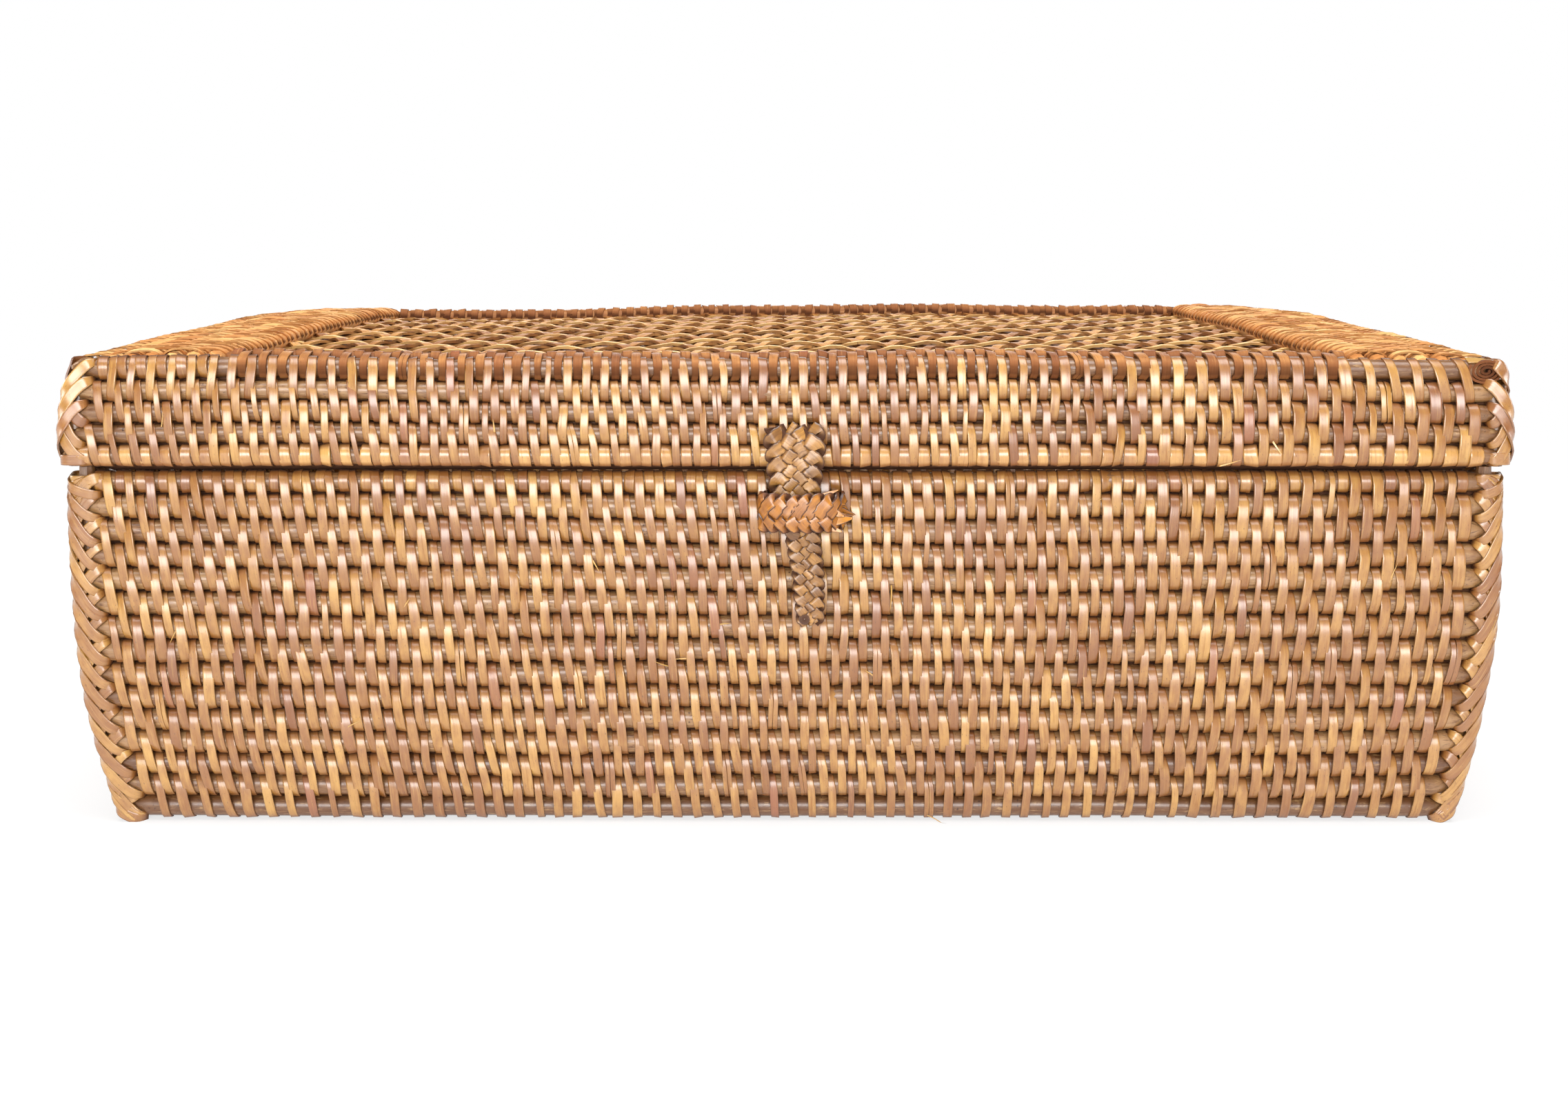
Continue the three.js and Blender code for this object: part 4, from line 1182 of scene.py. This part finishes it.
# ---- hinges
def hinge_path(lower, upper, radius):
    """Round both rim rods, as (out, up)."""
    line = unit(upper - lower)
    out = np.array((line[1], -line[0]))
    arcs = ((upper, (90, 45, 0)), (lower, (0, -45, -90, -135, -180)), (upper, (180, 135)))
    return np.array([rod + radius * (math.cos(a) * out + math.sin(a) * line)
                     for rod, turns in arcs for a in np.radians(turns)])


HINGE_TURNS = np.array((-3.75, -1.25, 1.25, 3.75))
HINGE_GIRTH = 3.65  # of a loop's path round the sewn rods
HINGE_STRIP = 2.45
# With this depth the loops take little painted shade.
HINGE_DEPTH = 125.0  # about how far out the loops are, so that hardly any of them counts as tucked in
rim_spots = [np.array((o - SIDE_DIFFERENCE, z)) for o, z in ((rim_out, rim_z), (lid_rim_out, lid_rim_z))]
for name, x in (("left", -HINGE_AT), ("right", HINGE_AT)):
    loop = Bundle()
    along, out = WALLS["back"]
    at = HINGE_TURNS - x
    tones = cane_tones(at, mean=0.5, spread=0.1)
    set_strips(loop, HINGE, hinge_path(*rim_spots, HINGE_GIRTH), np.zeros(3), along, out, UP, at,
               np.full(len(at), HINGE_STRIP), np.zeros(len(at)), ONLY_FINISH, tones, HINGE_DEPTH)
    loop.make(f"hinge_{name}", "hinge_loops", [canes["amber_binding"]],
              [f"hinge_loop_{name}"], sway=False)


# ---- studio
FLOOR_WHITE, FLOOR_NEAR = 0.92, 0.7  # the floor's own white, and how far it is backdrop under the box
WORLD_LIGHT = 0.18


def studio_floor():
    """White ground that takes a shadow near the box and is plain white backdrop further away."""
    bpy.ops.mesh.primitive_plane_add(size=12)
    ground = bpy.context.object
    ground.name = "studio_floor"
    material = bpy.data.materials.new("studio_floor")
    f = Finish(material)
    f.shade(Base_Color=(FLOOR_WHITE, FLOOR_WHITE, FLOOR_WHITE, 1), Roughness=0.9)
    kinds = ("Camera", "Glossy", "Transmission")
    seen, glossy, through = (f.node("LightPath", output=f"Is {kind} Ray") for kind in kinds)
    white = f.node("Emission", None, {"Color": (1, 1, 1, 1), "Strength": 1.0})
    place = f.node("TexCoord", output="Object")
    away = f.node("VectorMath", {"operation": "LENGTH"}, {0: place}, "Value").ramp(0.3, 0.9)
    share = (seen + glossy + through).ramp(0, 1) * (FLOOR_NEAR + away * (1 - FLOOR_NEAR))
    blend = f.node("MixShader", None, {0: share, 1: Value(f, f.shader.outputs[0]), 2: white})
    f.feed(f.tree.nodes["Material Output"].inputs["Surface"], blend)
    ground.data.materials.append(material)


def studio_world():
    """White to the camera, and a little light from all round."""
    world = bpy.data.worlds.new("studio")
    bpy.context.scene.world = world
    f = Finish(world, "Background")
    seen = f.node("LightPath", output="Is Camera Ray")
    strength = f.node("MapRange", None, {"Value": seen, "To Min": WORLD_LIGHT, "To Max": 1.0})
    f.shade(Color=(1, 1, 1, 1), Strength=strength)


def lamp(name, place, size, power, aim=(0, 0, 0.06)):
    light = bpy.data.lights.new(name, "AREA")
    light.shape = "RECTANGLE"
    light.size, light.size_y = size
    light.energy = power
    holder = bpy.data.objects.new(name, light)
    holder.location = place
    direction = np.array(aim) - np.array(place)
    yaw = math.atan2(direction[1], direction[0]) - math.pi / 2
    pitch = math.atan2(direction[2], math.hypot(direction[0], direction[1]))
    holder.rotation_euler = (math.pi / 2 + pitch, 0, yaw)
    bpy.context.collection.objects.link(holder)


studio_floor()
studio_world()
lamp("window", (-0.1, -1.75, 0.45), size=(1.4, 0.7), power=28)
lamp("overhead", (0.0, -0.3, 1.2), size=(1.2, 0.8), power=17, aim=(0, -0.05, 0.06))
lamp("behind", (0.1, 1.75, 0.55), size=(1.4, 0.7), power=18)
lamp("left", (-1.75, 0.1, 0.5), size=(1.2, 0.6), power=13)
lamp("right", (1.75, 0.1, 0.5), size=(1.2, 0.6), power=13)

# The camera as fitted to the photograph
PHOTO_WIDTH = 2274
FOCAL_PIXELS = 2870.4
SENSOR_WIDTH = 36.0
CAMERA_PLACE = (0.69, -608.0, 160.57)
CAMERA_DOWN, CAMERA_TURN = 10.601, 0.111  # degrees
camera = bpy.data.cameras.new("camera")
camera.sensor_fit = "HORIZONTAL"
camera.sensor_width = SENSOR_WIDTH
camera.lens = SENSOR_WIDTH * FOCAL_PIXELS / PHOTO_WIDTH
camera.clip_start = 0.01
viewer = bpy.data.objects.new("camera", camera)
viewer.location = [place * MM for place in CAMERA_PLACE]
viewer.rotation_euler = (math.radians(90 - CAMERA_DOWN), 0, math.radians(CAMERA_TURN))
bpy.context.collection.objects.link(viewer)
bpy.context.scene.camera = viewer
bpy.context.scene.view_settings.view_transform = "Standard"

bpy.context.view_layer.update()
